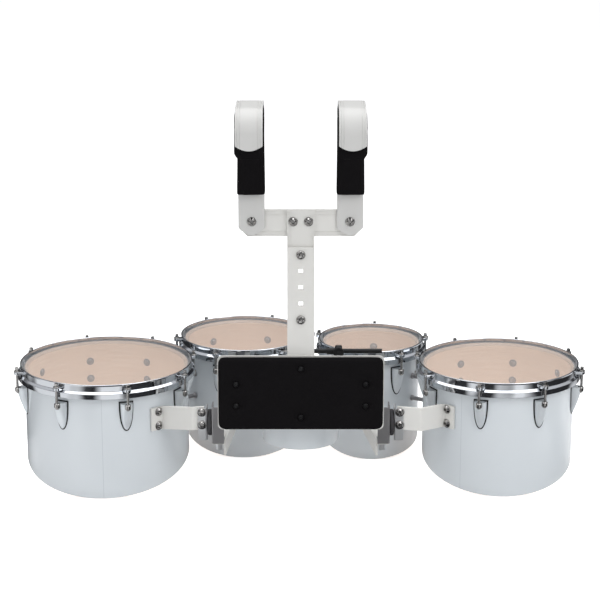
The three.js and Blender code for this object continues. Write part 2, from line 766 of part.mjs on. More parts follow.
// Bolts that hold the stem and the blades to the cross bar, and the two that set the height
const yokeGrip = crossBackY - stemFrontY + 2 * clearance;
const yokeBoltNames = ['left_blade_bolt', 'left_stem_bolt', 'right_stem_bolt', 'right_blade_bolt'];
yokeBoltXs.forEach((x, i) => {
  const start = new THREE.Vector3(x, stemFrontY - clearance, yokeBoltZ);
  addPiece(yokeBoltNames[i], throughBolt(start, towardAudience, yokeGrip, boltSides), materials.chrome, yoke);
});
const heightGrip = stemBackY - barFrontY + 2 * clearance;
const heightBolts = { upper_height_bolt: holeTop, lower_height_bolt: holeTop - lowerBoltPitches * holePitch };
for (const [name, z] of Object.entries(heightBolts)) {
  const start = new THREE.Vector3(0, barFrontY - clearance, z);
  addPiece(name, throughBolt(start, towardAudience, heightGrip, boltSides), materials.chrome);
}

// Shoulder blades: a grooved strip bent over the shoulder, with rounded ends
const bladeMiddleY = stemBackY - barThickness / 2;
const bladeBottom = stemTop - crossBarHeight + crossBarChamfer / 2;
const bladeTopZ = bladeCrest - barThickness / 2;
const bladeLine = (bottom, tip) => [
  place(bladeMiddleY, bottom), place(bladeMiddleY, bladeTopZ),
  place(bladeMiddleY - bladeReach, bladeTopZ), place(bladeMiddleY - bladeReach, tip),
];

// A tall outline with a bowed lower end, for trimming the end of a strip
function bowedEnd(x, width, bottom, sagitta, height) {
  const shape = new THREE.Shape();
  shape.moveTo(x + width / 2, height);
  shape.lineTo(x - width / 2, height);
  shape.lineTo(x - width / 2, bottom + sagitta);
  shape.quadraticCurveTo(x, bottom - sagitta, x + width / 2, bottom + sagitta);
  return shape;
}

function makeBlade(x) {
  const left = x - bladeWidth / 2;
  const line = bladeLine(bladeBottom, bladeTip);
  const strip = sideStrip(line, barThickness, bladeBendRadius, left, bladeWidth, bladeBendSteps);
  const grooveLine = bladeLine(foamBottom, bladeTip - overrun).map((corner, i, all) => {
    const shift = barThickness / 2;
    const outY = i < 2 ? shift : -shift;
    const outZ = i === 0 || i === all.length - 1 ? 0 : shift;
    return place(corner.x + outY, corner.y + outZ);
  });
  const grooveBend = bladeBendRadius + barThickness / 2;
  const grooves = grooveCentres(bladeWidth).map((offset) => sideStrip(
    grooveLine, 2 * grooveDepth, grooveBend, x + offset - grooveWidth / 2, grooveWidth, bladeBendSteps,
  ));
  const midY = bladeMiddleY - bladeReach / 2;
  const wide = bladeWidth + overrun;
  const back = bowedEnd(x, bladeWidth, bladeBottom, bladeEndSagitta, bladeCrest + overrun);
  const front = bowedEnd(x, bladeWidth, bladeTip, bladeTipSagitta, bladeCrest + overrun);
  const backTrim = uprightPlate(back, bladeReach / 2 + wide, midY + bladeReach / 2 + wide);
  const frontTrim = uprightPlate(front, bladeReach / 2 + wide, midY + clearance);
  const holeStart = new THREE.Vector3(x, bladeMiddleY - wide / 2, yokeBoltZ);
  const hole = rodAlong(bored(boltRadius, tubeSides), wide, tubeSides, holeStart, towardAudience);
  return cut(common(strip, [join(backTrim, [frontTrim])]), [...grooves, hole]);
}

// Foam on the inner face of a blade: a crowned cross-section with drawn-in sides and ends
function makeFoam(x) {
  const inset = barThickness / 2 + clearance + foamThickness / 2;
  const line = [
    place(bladeMiddleY - inset, foamBottom), place(bladeMiddleY - inset, foamBottom + foamTaper),
    place(bladeMiddleY - inset, bladeTopZ - inset),
    place(bladeMiddleY - bladeReach + inset, bladeTopZ - inset),
    place(bladeMiddleY - bladeReach + inset, bladeTip - foamTipOverhang + foamTaper),
    place(bladeMiddleY - bladeReach + inset, bladeTip - foamTipOverhang),
  ];
  const stations = roundedLine(line, bladeBendRadius - inset, bladeBendSteps);
  const rings = stations.map(({ point, sideways }, i) => {
    const atEnd = i === 0 || i === stations.length - 1;
    const widthShare = atEnd ? foamEndWidthShare : 1;
    const thickShare = atEnd ? foamEndThicknessShare : 1;
    return foamSectionShares.map(([acrossShare, throughShare]) => {
      const spot = point.clone().addScaledVector(sideways, throughShare * thickShare * foamThickness);
      return new THREE.Vector3(x + acrossShare * widthShare * foamWidth, spot.x, spot.y);
    });
  });
  return loft(rings);
}

for (const [side, x] of [['left', -bladeSpread / 2], ['right', bladeSpread / 2]]) {
  addPiece(`${side}_blade`, makeBlade(x), materials.blade, yoke);
  addPiece(`${side}_foam`, makeFoam(x), materials.pad, yoke);
}

// Belly plate and its pad, with wells for the six screws
const screwTable = {
  belly_screw_middle_upper: [0, centerScrewHigh], belly_screw_middle_lower: [0, centerScrewLow],
  belly_screw_left_upper: [-sideScrewX, sideScrewHigh], belly_screw_left_lower: [-sideScrewX, sideScrewLow],
  belly_screw_right_upper: [sideScrewX, sideScrewHigh], belly_screw_right_lower: [sideScrewX, sideScrewLow],
};
const screwPlaces = Object.values(screwTable);
const plateBackY = barFrontY - clearance;
const plateFrontY = plateBackY - plateThickness;
const plateBottom = plateTop - plateHeight;
const plateShape = roundedRectangle(-plateWidth / 2, plateBottom, plateWidth, plateHeight, plateCorner);
for (const [x, z] of screwPlaces) plateShape.holes.push(roundHole(x, z, bored(screwRadius)));
const bellyPlate = uprightPlate(plateShape, plateThickness, plateBackY, plateCurveSteps);
addPiece('belly_plate', bellyPlate, materials.harness);

// A pad as stacked outlines: drawn in at the back and the front rim, full in the middle, a flat crown
function makePad() {
  const backY = plateFrontY - clearance;
  const padTop = plateTop - padTopMargin;
  const padBottom = plateTop - plateHeight + padBottomMargin;
  const middleZ = (padTop + padBottom) / 2;
  const rings = padShares.map(([depthShare, insetShare]) => {
    const inset = insetShare * padDrawIn;
    const width = plateWidth - 2 * (padSideMargin + inset);
    const height = padTop - padBottom - 2 * inset;
    const outline = roundedRectangle(-width / 2, middleZ - height / 2, width, height, padCorner);
    return openPoints(outline, plateCurveSteps).map((point) => (
      new THREE.Vector3(point.x, backY - depthShare * padThickness, point.y)
    ));
  });
  const pad = loft(rings);
  const wells = screwPlaces.flatMap(([x, z]) => {
    const front = new THREE.Vector3(x, backY - padThickness - overrun, z);
    return [
      rodAlong(screwWellRadius, screwWellDepth + overrun, tubeSides, front, towardAudience),
      rodAlong(bored(screwRadius), padThickness + 2 * overrun, boltHoleSides, front, towardAudience),
    ];
  });
  return cut(pad, wells);
}
addPiece('belly_pad', makePad(), materials.pad);

const screwSeatY = plateFrontY - clearance - padThickness + screwWellDepth - clearance;
const screwReach = barBackY - screwSeatY - clearance - barThickness / 2;
for (const [name, [x, z]] of Object.entries(screwTable)) {
  addPiece(name, blindBolt(new THREE.Vector3(x, screwSeatY, z), towardAudience, screwReach,
    screwHeadRadius, screwHeadHeight, screwRadius), materials.blackSteel);
}

// Side hardware is drawn for the right side and mirrored for the left
function mirrored(geometry, side) {
  return side > 0 ? geometry : weld(geometry.clone().scale(-1, 1, 1));
}

const sheetY = barFrontY + channelMetal / 2 + clearance;
const channelBackY = barFrontY + channelDepth;
const tabBoltX = channelInnerX + boltHeadRadius + 2 * clearance;
const tabBoltY = barFrontY + channelDepth / 2;

function makeChannel() {
  const outer = channelOuterX - channelMetal / 2;
  const sheet = standingStrip(
    [place(channelFlangeX, sheetY), place(outer, sheetY), place(outer, channelBackY)],
    channelMetal, channelMetal, channelBottom, channelFlangeTop,
  );
  const low = barFrontY - overrun;
  const high = channelBackY + overrun;
  const tab = block([channelInnerX, sheetY, channelBottom],
    [outer, channelBackY - channelMetal, channelBottom + channelMetal]);
  const screwHoles = [sideScrewHigh, sideScrewLow].map((z) => boltHole(
    screwRadius, new THREE.Vector3(sideScrewX, sheetY - overrun, z), towardAudience,
  ));
  const pivotStart = new THREE.Vector3(channelOuterX - overrun, barFrontY + isolatorBack, isolatorZ);
  const pivotHole = boltHole(boltRadius, pivotStart, acrossPlus);
  const tabHole = rod(bored(boltRadius), 2 * overrun, boltHoleSides);
  tabHole.translate(tabBoltX, tabBoltY, channelBottom - overrun);
  const trimmed = cut(sheet, [
    block([channelInnerX, low, channelTop], [channelOuterX + overrun, high, channelFlangeTop + overrun]),
    block([channelFlangeX - overrun, low, channelBottom - overrun],
      [channelInnerX, high, channelFlangeBottom]),
  ]);
  return cut(join(trimmed, [tab]), [...screwHoles, pivotHole, tabHole]);
}

const isolatorY = barFrontY + isolatorBack;
const isolatorX = channelOuterX + clearance;
const bracketX = isolatorX + isolatorThickness + clearance;
const bracketY = barFrontY + bracketFront;

function makeIsolator() {
  const rim = isolatorThickness / 3;
  const bore = bored(boltRadius, isolatorSides);
  return turnedAlong([
    [bore, 0], [isolatorRadius - rim, 0], [isolatorRadius, rim], [isolatorRadius, isolatorThickness - rim],
    [isolatorRadius - rim, isolatorThickness], [bore, isolatorThickness],
  ], isolatorSides, new THREE.Vector3(isolatorX, isolatorY, isolatorZ), acrossPlus);
}

const bracketBoltX = bracketX + bracketMetal + bracketLegWidth / 2;
const bracketBoltZs = [armZ + armBoltPitch / 2, armZ - armBoltPitch / 2];

function makeBracket() {
  const legX = bracketX + bracketMetal / 2;
  const legY = bracketY + bracketMetal / 2;
  const strip = standingStrip(
    [place(legX, bracketY + bracketLegDepth), place(legX, legY),
      place(bracketX + bracketMetal + bracketLegWidth, legY)],
    bracketMetal, bracketMetal, bracketTop - bracketHeight, bracketTop,
  );
  const grip = bracketMetal - weldDepth + 2 * clearance + armThickness;
  const bolts = bracketBoltZs.map((z) => (
    throughBolt(new THREE.Vector3(bracketBoltX, bracketY + weldDepth, z), towardAudience, grip)
  ));
  const pivot = boltHole(boltRadius, new THREE.Vector3(bracketX - overrun, isolatorY, isolatorZ), acrossPlus);
  return join(cut(strip, [pivot]), bolts);
}

// A bolt through a metal flange outside a shell, with its nut inside
function shellBolt(drum, degrees, z, metal) {
  const outside = drum.radius + clearance + metal - weldDepth;
  const grip = outside - seatInside(drum, nutRadius);
  const profile = [
    [0, -boltHeadHeight], [boltHeadRadius * boltCrownShare, -boltHeadHeight], [boltHeadRadius, 0],
    [hiddenBoltRadius, 0], [hiddenBoltRadius, grip], [nutRadius, grip],
    [nutRadius, grip + nutHeight], [0, grip + nutHeight],
  ];
  return turnedAlong(profile, boltHoleSides, drumPoint(drum, degrees, outside, z), inwards(degrees));
}

// Outer arm: from behind the bracket's front leg to a flange that lies on the shell
function makeOuterArm(drum, degrees, side, run) {
  const startX = bracketX + 2 * bracketMetal;
  const armY = bracketY + bracketMetal + clearance + armThickness / 2;
  const normal = outward(degrees);
  const tangent = place(-normal.y, normal.x).multiplyScalar(side);
  const seat = drum.radius + clearance + armThickness / 2;
  const middle = drum.centre.clone().addScaledVector(normal, seat);
  const inner = middle.clone().addScaledVector(tangent, -armFlangeInner);
  const outer = middle.clone().addScaledVector(tangent, armFlangeOuter);
  const corners = [place(side * startX, armY), place(side * (startX + run), armY), inner, outer];
  const [low, high] = [armZ - armHeight / 2, armZ + armHeight / 2];
  const strip = standingStrip(corners, armThickness, armBendRadius, low, high);
  const runX = side * (startX + run / 2);
  const fallRun = Math.abs(inner.x - runX);
  const solid = weld(strip);
  const position = solid.attributes.position;
  for (let i = 0; i < position.count; i++) {
    const past = Math.max(0, side * (position.getX(i) - runX));
    position.setZ(i, position.getZ(i) - armFall * Math.min(past, fallRun) / fallRun);
  }
  const bracketHoles = bracketBoltZs.map((z) => boltHole(
    boltRadius, new THREE.Vector3(side * bracketBoltX, bracketY - overrun / 2, z), towardAudience,
  ));
  const bolts = [-0.5, 0.5].map((share) => (
    shellBolt(drum, degrees, armDrumZ + share * armDrumBoltPitch, armThickness)
  ));
  return join(cut(solid, bracketHoles), bolts);
}

// Inner arm: an angle section from under the channel to the back drum's shell, ending in a flange
function makeInnerArm(drum, degrees, side) {
  const normal = outward(degrees);
  const tangent = place(-normal.y, normal.x).multiplyScalar(-side);
  const seat = drum.radius + clearance + innerArmMetal / 2;
  const middle = drum.centre.clone().addScaledVector(normal, seat);
  const corner = middle.clone().addScaledVector(tangent, -innerArmFlange / 2);
  const end = middle.clone().addScaledVector(tangent, innerArmFlange / 2);
  const near = place(side * channelInnerX, barFrontY + innerArmSetback);
  const low = innerArmTop - innerArmHeight;
  const web = standingStrip([near, corner, end], innerArmMetal, armBendRadius, low, innerArmTop);
  const along = corner.clone().sub(near).normalize();
  const out = place(-along.y * side, along.x * side).multiplyScalar(-1);
  const legEnd = near.clone().lerp(corner, innerArmLegShare);
  const tabFrontY = tabBoltY - innerArmLeg / 2;
  const legShape = new THREE.Shape([
    place(side * channelInnerX, tabFrontY), place(side * (channelInnerX + innerArmLeg), tabFrontY),
    place(side * (channelInnerX + innerArmLeg), near.y),
    legEnd.clone().addScaledVector(out, innerArmLeg), legEnd, near,
  ]);
  const leg = new THREE.ExtrudeGeometry(legShape, { depth: innerArmMetal, bevelEnabled: false });
  leg.translate(0, 0, innerArmTop - innerArmMetal);
  const tabHole = rod(bored(boltRadius), 2 * overrun, boltHoleSides);
  tabHole.translate(side * tabBoltX, tabBoltY, innerArmTop - overrun);
  return cut(join(web, [leg, shellBolt(drum, degrees, innerArmBoltZ, innerArmMetal)]), [tabHole]);
}

const sides = [
  { name: 'left', side: -1, front: drums.front_left, frontDegrees: leftArmDegrees, run: leftArmRun,
    back: drums.back_left, backDegrees: backLeftArmDegrees },
  { name: 'right', side: 1, front: drums.front_right, frontDegrees: rightArmDegrees, run: rightArmRun,
    back: drums.back_right, backDegrees: backRightArmDegrees },
];
for (const { name, side, front, frontDegrees, run, back, backDegrees } of sides) {
  addPiece(`${name}_channel`, mirrored(makeChannel(), side), materials.grey);
  addPiece(`${name}_isolator`, mirrored(makeIsolator(), side), materials.rubber);
  addPiece(`${name}_bracket`, mirrored(makeBracket(), side), materials.chrome);
  addPiece(`${name}_outer_arm`, makeOuterArm(front, frontDegrees, side, run), materials.harness);
  addPiece(`${name}_inner_arm`, makeInnerArm(back, backDegrees, side), materials.harness);
  const pivotHeadX = side * (channelOuterX - channelMetal - clearance);
  const pivotStart = new THREE.Vector3(pivotHeadX, isolatorY, isolatorZ);
  const pivotGrip = channelMetal + isolatorThickness + bracketMetal + 4 * clearance;
  const pivotBolt = throughBolt(pivotStart, new THREE.Vector3(side, 0, 0), pivotGrip);
  addPiece(`${name}_isolator_bolt`, pivotBolt, materials.chrome);
  const tabStart = new THREE.Vector3(side * tabBoltX, tabBoltY, channelBottom + channelMetal + clearance);
  const tabGrip = channelMetal + innerArmMetal + 3 * clearance;
  const tabBolt = throughBolt(tabStart, new THREE.Vector3(0, 0, -1), tabGrip);
  addPiece(`${name}_tab_bolt`, tabBolt, materials.chrome);
}

// Accessory rod behind the plate's top edge, in a clamp whose foot stands on the plate's back
const rodBarY = barBackY + rodBarRadius + 2 * clearance;
const rodBarZ = plateTop + rodBarRise;
addPiece('accessory_rod', rodAlong(rodBarRadius, rodBarLength, clampSides,
  new THREE.Vector3(rodBarLeft, rodBarY, rodBarZ), acrossPlus), materials.blackSteel);

function makeClamp() {
  const collarShape = new THREE.Shape();
  collarShape.absellipse(rodBarY, rodBarZ, clampDepth / 2, clampHeight / 2, 0, 2 * Math.PI, false);
  const options = { depth: clampWidth, bevelEnabled: false, curveSegments: clampSides / 2 };
  const collar = new THREE.ExtrudeGeometry(collarShape, options);
  collar.applyMatrix4(layAcross(clampX - clampWidth / 2));
  const neckStart = new THREE.Vector3(clampX - clampWidth / 2 - clampNeckLength, rodBarY, rodBarZ);
  const neck = rodAlong(clampNeckRadius, clampNeckLength + clampWidth / 2, clampSides, neckStart, acrossPlus);
  const footTop = plateTop - clearance;
  const foot = block([clampX - clampFootWidth / 2, plateBackY + clearance, footTop - clampFootHeight],
    [clampX + clampFootWidth / 2, plateBackY + clearance + clampFootThickness, footTop]);
  const post = block([clampX - clampWidth / 2, plateBackY + clearance, footTop - clampHeight / 2],
    [clampX + clampWidth / 2, rodBarY, footTop]);
  const bore = rodAlong(rodBarRadius + clearance, rodBarLength, clampSides,
    new THREE.Vector3(clampX - rodBarLength / 2, rodBarY, rodBarZ), acrossPlus);
  return cut(join(collar, [neck, foot, post]), [bore]);
}
addPiece('rod_clamp', makeClamp(), materials.blackSteel);

// Sets the model down on its lowest points, over the middle of its own footprint
const extent = new THREE.Box3().setFromObject(model);
const middle = extent.getCenter(new THREE.Vector3());
model.position.set(-middle.x, -middle.y, -extent.min.z);
model.updateMatrixWorld(true);

export default model;
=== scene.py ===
import math

import bmesh
import bpy
from mathutils import Matrix, Vector


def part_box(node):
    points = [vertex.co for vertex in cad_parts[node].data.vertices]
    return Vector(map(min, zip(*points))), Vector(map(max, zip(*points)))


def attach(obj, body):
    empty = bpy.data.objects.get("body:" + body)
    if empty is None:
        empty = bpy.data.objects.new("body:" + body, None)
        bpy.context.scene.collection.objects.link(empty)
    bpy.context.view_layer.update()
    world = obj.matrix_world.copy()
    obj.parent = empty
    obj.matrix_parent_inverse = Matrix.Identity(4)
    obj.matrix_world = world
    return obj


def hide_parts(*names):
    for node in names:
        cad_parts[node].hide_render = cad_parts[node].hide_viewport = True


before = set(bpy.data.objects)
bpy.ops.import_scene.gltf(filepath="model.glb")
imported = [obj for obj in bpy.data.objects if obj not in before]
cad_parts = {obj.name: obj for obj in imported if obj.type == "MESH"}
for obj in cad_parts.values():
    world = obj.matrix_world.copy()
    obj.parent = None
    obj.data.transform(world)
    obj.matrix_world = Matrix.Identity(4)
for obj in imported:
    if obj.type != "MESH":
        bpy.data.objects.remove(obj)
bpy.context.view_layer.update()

# Marching tenor drums on a shoulder carrier. Pieces are drawn in millimetres from the middle of the carrier
# and a plane just under the hoop tops, with the player on the -Y side, and then set into the frame.
MM = 0.001
INCH = 25.4
FULL_TURN = 2 * math.pi
QUARTER_TURN = math.pi / 2

# Fits, soft edges and steps round a circle that many pieces share
CLEARANCE = 0.3
EDGE_ROUND = 0.5
METAL_EDGE = 0.8
SHARP_DEGREES = 38
WALL_SHARP_DEGREES = 30
STRAIGHT_DEGREES = 0.1
WELD_GAP = 0.0005
RING_STEPS = 120
BOLT_STEPS = 32
TUBE_STEPS = 48

# Drums: head size, depth, rise of the slanted bottom edge, lugs, and the angles of the first lug and the seam
DRUMS = {
    "front_left": {"inches": 13, "depth": 236, "slope": 0.27, "lugs": 8, "first_lug": 18.7, "seam": 1.9},
    "back_left": {"inches": 10, "depth": 236, "slope": 0.27, "lugs": 6, "first_lug": -23, "seam": 150},
    "center": {"inches": 6, "depth": 140, "slope": 0, "lugs": 4, "first_lug": 45, "seam": 170},
    "back_right": {"inches": 8, "depth": 236, "slope": 0.27, "lugs": 5, "first_lug": 30, "seam": 140},
    "front_right": {"inches": 12, "depth": 236, "slope": 0.27, "lugs": 8, "first_lug": -18.5, "seam": -33.6},
}
SHELL_WALL = 7
HEAD_DROP = 4.5
FILM_THICKNESS = 0.4
FILM_SEAT = 0.8
FLESH_HOOP_DROP = 17.2
FLESH_HOOP_HEIGHT = 5.8
FLESH_HOOP_WIDTH = 10
COLLAR_OFFSET = 1.6
COLLAR_TAIL = 2
BEARING_INSET = 2
BEARING_SLANT = 5

# The share of a face's normal that looks up, by which it counts as level, as a side or as the bearing slant
LEVEL_FACE = 0.5
SIDE_FACE = 0.7
SLANTED_FACE = 0.2

# Counter hoop, radii counted outwards from the shell
HOOP_RISE = 1.5
HOOP_BOTTOM = -27
HOOP_INNER = 6.4
HOOP_LIP = 9.4
HOOP_WAIST = 8.4
HOOP_WAIST_DROP = 12.6
HOOP_FLANGE = 13.6
HOOP_METAL = 2.2
HOOP_STEP = 4
HOOP_ROLL = 3.4

# Tension rods, ears and lugs
ROD_OFFSET = 18
ROD_RADIUS = 2.6
ROD_DEPTH = 47
ROD_HEAD_WIDTH = 6
ROD_HEAD_TOP = 3
ROD_COLLAR_RADIUS = 6.2
ROD_COLLAR_HEIGHT = 2
EAR_WIDTH = 15
EAR_REACH = 24
EAR_DROP = 6
EAR_HEIGHT = 6
EAR_ARC_STEPS = 14
EAR_HOLE_STEPS = 16
LUG_TOP_DROP = 39
LUG_HEIGHT = 56
LUG_WIDTH = 24
LUG_CASTING_REACH = 19
LUG_SUNK = 0.4
LUG_LEVELS = 22
LUG_COLUMNS = 20
LUG_LAST_LEVEL = 0.995
LUG_LEAST_SHARE = 0.05
LUG_SIDE_POWER = 2.6
LUG_REACH_LOSS = 0.86
LUG_REACH_POWER = 1.5
LUG_ROUND_POWER = 0.72
LUG_COLLAR_RADIUS = 6.4
LUG_COLLAR_HEIGHT = 8
LUG_COLLAR_INSET = 1.4
GASKET_MARGIN = 2.5
GASKET_THICKNESS = 1.8
GASKET_STEPS = 20
LUG_BOLT_PITCH = 38
LUG_BOLT_MIDDLE = -66
WASHER_RADIUS = 8
WASHER_THICKNESS = 1.4
PAN_HEAD_RADIUS = 4.6

# Upright bars of the carrier
BAR_WIDTH = 52
BAR_THICKNESS = 5
BAR_CORNER = 1.2
BAR_EDGE = 0.6
BAR_BACK_Y = -170
BAR_FRONT_Y = BAR_BACK_Y - BAR_THICKNESS
BAR_TOP = 276.5
BAR_BOTTOM = -88
HOLE_TOP = 262
HOLE_PITCH = 32.1
HOLE_COUNT = 5
SQUARE_HOLE = 8.5
HEIGHT_BOLT_HOLES = {"upper_height_bolt": 0, "lower_height_bolt": 4}
STEM_TOP = 348
STEM_BOTTOM = 84
STEM_BACK_Y = BAR_BACK_Y + CLEARANCE + BAR_THICKNESS
STEM_FRONT_Y = STEM_BACK_Y - BAR_THICKNESS
STEM_GROOVE_INSETS = (3.4, 7)
SLOT_WIDTH = 9
SLOT_BOTTOM = 90
SLOT_ROUND = SLOT_WIDTH / 2 - 0.01
GROOVE_WIDTH = 1.3
GROOVE_DEPTH = 0.7
GROOVE_SLANT = 0.2

# Cross bar and shoulder blades
CROSS_LENGTH = 218
CROSS_HEIGHT = 52
CROSS_CHAMFER = 7
CROSS_BOTTOM = STEM_TOP - CROSS_HEIGHT
CROSS_BACK_Y = STEM_BACK_Y + CLEARANCE + BAR_THICKNESS
CROSS_FRONT_Y = CROSS_BACK_Y - BAR_THICKNESS
CROSS_GROOVES = (STEM_TOP - 4, STEM_TOP - 10, CROSS_BOTTOM + 4, CROSS_BOTTOM + 9)
YOKE_BOLT_Z = 325.5
STEM_BOLT_X = 14.7
BLADE_X = 93.4
YOKE_BOLTS = {"left_blade_bolt": -BLADE_X, "left_stem_bolt": -STEM_BOLT_X, "right_stem_bolt": STEM_BOLT_X,
              "right_blade_bolt": BLADE_X}
BLADE_WIDTH = 50
BLADE_REACH = 162
BLADE_MIDDLE_Y = STEM_BACK_Y - BAR_THICKNESS / 2
BLADE_TIP_Y = BLADE_MIDDLE_Y - BLADE_REACH
BLADE_TOP = 563
BLADE_CREST = BLADE_TOP - BAR_THICKNESS / 2
BLADE_BOTTOM = CROSS_BOTTOM + CROSS_CHAMFER / 2
BLADE_TIP = 490
BLADE_BEND = 45
BLADE_BEND_STEPS = 14
BLADE_END_BOW = 14
BLADE_TIP_BOW = 9
BLADE_FLAT = 14
BLADE_FLAT_STEPS = 5
BLADE_INNER_SPREAD = 0.8
BLADE_GROOVE_INSETS = (4, 8.5)

# Shoulder foams
FOAM_WIDTH = 56
FOAM_THICKNESS = 14
FOAM_INSET = BAR_THICKNESS / 2 + CLEARANCE + FOAM_THICKNESS / 2
FOAM_BOTTOM = 379
FOAM_TIP = 472
FOAM_TIP_ROUND = 14
FOAM_TIP_STEPS = 7
FOAM_TIP_TURN = QUARTER_TURN * 0.94
FOAM_BEND_STEPS = 10
FOAM_SECTION_STEPS = 28
FOAM_SIDE_POWER = 0.35
FOAM_FACE_POWER = 0.6
FOAM_SLACK = (0.6, 0.5)
FOAM_CROWN = 0.05
FOAM_EDGE = 2.4
FOAM_HELD_DEPTH = 2.1
FOAM_PUFF = 1.6
FOAM_VOXEL = 4.5

# Belly plate, pad and screws
PLATE_WIDTH = 323
PLATE_TOP = 62.8
PLATE_HEIGHT = 149.8
PLATE_THICKNESS = 3
PLATE_CORNER = 10
PLATE_EDGE = 0.7
PLATE_BACK_Y = BAR_FRONT_Y - CLEARANCE
PAD_WIDTH = 320.4
PAD_TOP_MARGIN = 0.5
PAD_BOTTOM_MARGIN = 2.2
PAD_THICKNESS = 14
PAD_CORNER = 12
PAD_BACK_Y = BAR_FRONT_Y - 2 * CLEARANCE - PLATE_THICKNESS
PAD_FRONT_Y = PAD_BACK_Y - PAD_THICKNESS
PAD_HELD_DEPTH = 2.5
PAD_PUFF = 1.2
PAD_VOXEL = 4.0
PAD_PROFILE = ((0, 2.4), (0.16, 0.7), (0.34, 0.4), (0.62, 0.5), (0.8, 1.6), (0.92, 4.2), (0.97, 7.5))
SIDE_SCREW_X = 125.5
SCREW_PLACES = {
    "belly_screw_middle_upper": (0, 39), "belly_screw_middle_lower": (0, -59),
    "belly_screw_left_upper": (-SIDE_SCREW_X, 8), "belly_screw_left_lower": (-SIDE_SCREW_X, -36),
    "belly_screw_right_upper": (SIDE_SCREW_X, 8), "belly_screw_right_lower": (SIDE_SCREW_X, -36),
}
SCREW_HEAD_RADIUS = 5.6
SCREW_HEAD_HEIGHT = 3
SCREW_RADIUS = 3
SCREW_LENGTH = 12
SCREW_WELL_RADIUS = 7.4
SCREW_WELL_DEPTH = 4
DIMPLE_REACH = 2.1 * SCREW_WELL_RADIUS
DIMPLE_DEPTH = SCREW_WELL_DEPTH + 1.5
CLOTH_PRESSURE = 4.0
CLOTH_FRAMES = 20
CLOTH_QUALITY = 5

# Standoffs and spacers between the drums
STANDOFF_RADIUS = 9
STANDOFF_HEIGHTS = {"upper_standoff": -40, "lower_standoff": -80}
SPACER_RADIUS = 5
SPACER_HEIGHTS = {"upper_spacer": -67, "spacer": -115}
SPACED_PAIRS = {"front_left": ("front_left", "back_left"), "back": ("back_left", "back_right"),
                "front_right": ("back_right", "front_right")}
FLARE_SHARE = 1.22
TUBE_WAIST_SHARE = 0.86

# Side channels, isolators, brackets and arms
SHEET_METAL = 3
CHANNEL_OUTER_X = 174
CHANNEL_INNER_X = 150
CHANNEL_FLANGE_X = 108
CHANNEL_TOP = -44
CHANNEL_BOTTOM = -118
CHANNEL_FLANGE_TOP = 20
CHANNEL_FLANGE_BOTTOM = -80
CHANNEL_DEPTH = 40
ISOLATOR_RADIUS = 26
ISOLATOR_THICKNESS = 8
ISOLATOR_STEPS = 72
ISOLATOR_X = CHANNEL_OUTER_X + CLEARANCE
ISOLATOR_Y = -145
ISOLATOR_Z = -83
BRACKET_X = ISOLATOR_X + ISOLATOR_THICKNESS + CLEARANCE
BRACKET_FRONT_Y = -166
BRACKET_LEG_DEPTH = 30
BRACKET_LEG_WIDTH = 15
BRACKET_TOP = -48
BRACKET_BOTTOM = -114
ARM_THICKNESS = 5
ARM_HEIGHT = 47
ARM_Z = -68.5
ARM_FALL = 13.5
ARM_BEND = 7
ARM_FLANGE_INNER = 9
ARM_FLANGE_OUTER = 17
ARM_BOLT_PITCH = 26
ARM_DRUM_BOLT_PITCH = 29
INNER_ARM_METAL = 4
INNER_ARM_LEG = 22
INNER_ARM_HEIGHT = 34
INNER_ARM_FLANGE = 32
INNER_ARM_LEG_SHARE = 0.8
INNER_ARM_START_Y = -146
INNER_ARM_TOP = CHANNEL_BOTTOM - CLEARANCE
TAB_BOLT_X = 159.6
TAB_BOLT_Y = -155
SIDES = {
    "left": {"side": -1, "front": "front_left", "front_degrees": 42, "run": 24, "back": "back_left",
             "back_degrees": 3},
    "right": {"side": 1, "front": "front_right", "front_degrees": -45.2, "run": 46, "back": "back_right",
              "back_degrees": -24},
}

# Accessory rod and its clamp
ACCESSORY_RADIUS = 4.6
ACCESSORY_LEFT = 7
ACCESSORY_LENGTH = 150
ACCESSORY_Y = -164.8
ACCESSORY_Z = 68.5
CLAMP_X = 73
CLAMP_WIDTH = 14
CLAMP_LEFT = CLAMP_X - CLAMP_WIDTH / 2
CLAMP_DEPTH = 16
CLAMP_HEIGHT = 24
CLAMP_STEPS = 40
CLAMP_BORE_STEPS = 28
CLAMP_EDGE = 5
CLAMP_KNOB_RADIUS = 10.4
CLAMP_KNOB_THICKNESS = 5
CLAMP_KNOB_STEPS = 56
CLAMP_NECK_LENGTH = 16
CLAMP_NECK_RADIUS = 6.6
CLAMP_FOOT_WIDTH = 24
CLAMP_FOOT_HEIGHT = 32
CLAMP_FOOT_THICKNESS = 4
CLAMP_FOOT_TOP = PLATE_TOP - CLEARANCE

# Bolts
BOLT_HEAD_RADIUS = 9
BOLT_HEAD_HEIGHT = 5
BOLT_RIM_RADIUS = BOLT_HEAD_RADIUS * 0.84
BOLT_RECESS_RADIUS = 3.1
BOLT_RECESS_DEPTH = 3.7
BOLT_RADIUS = 4
NUT_RADIUS = 7
NUT_HEIGHT = 5
TAB_NUT_HEIGHT = 13

# Camera, fitted to the photograph
CAMERA_PLACE = (-1.5, -3593.2, 1082.9)
CAMERA_TILT = 0.2601
CAMERA_LENS = 110.844
SENSOR_WIDTH = 36

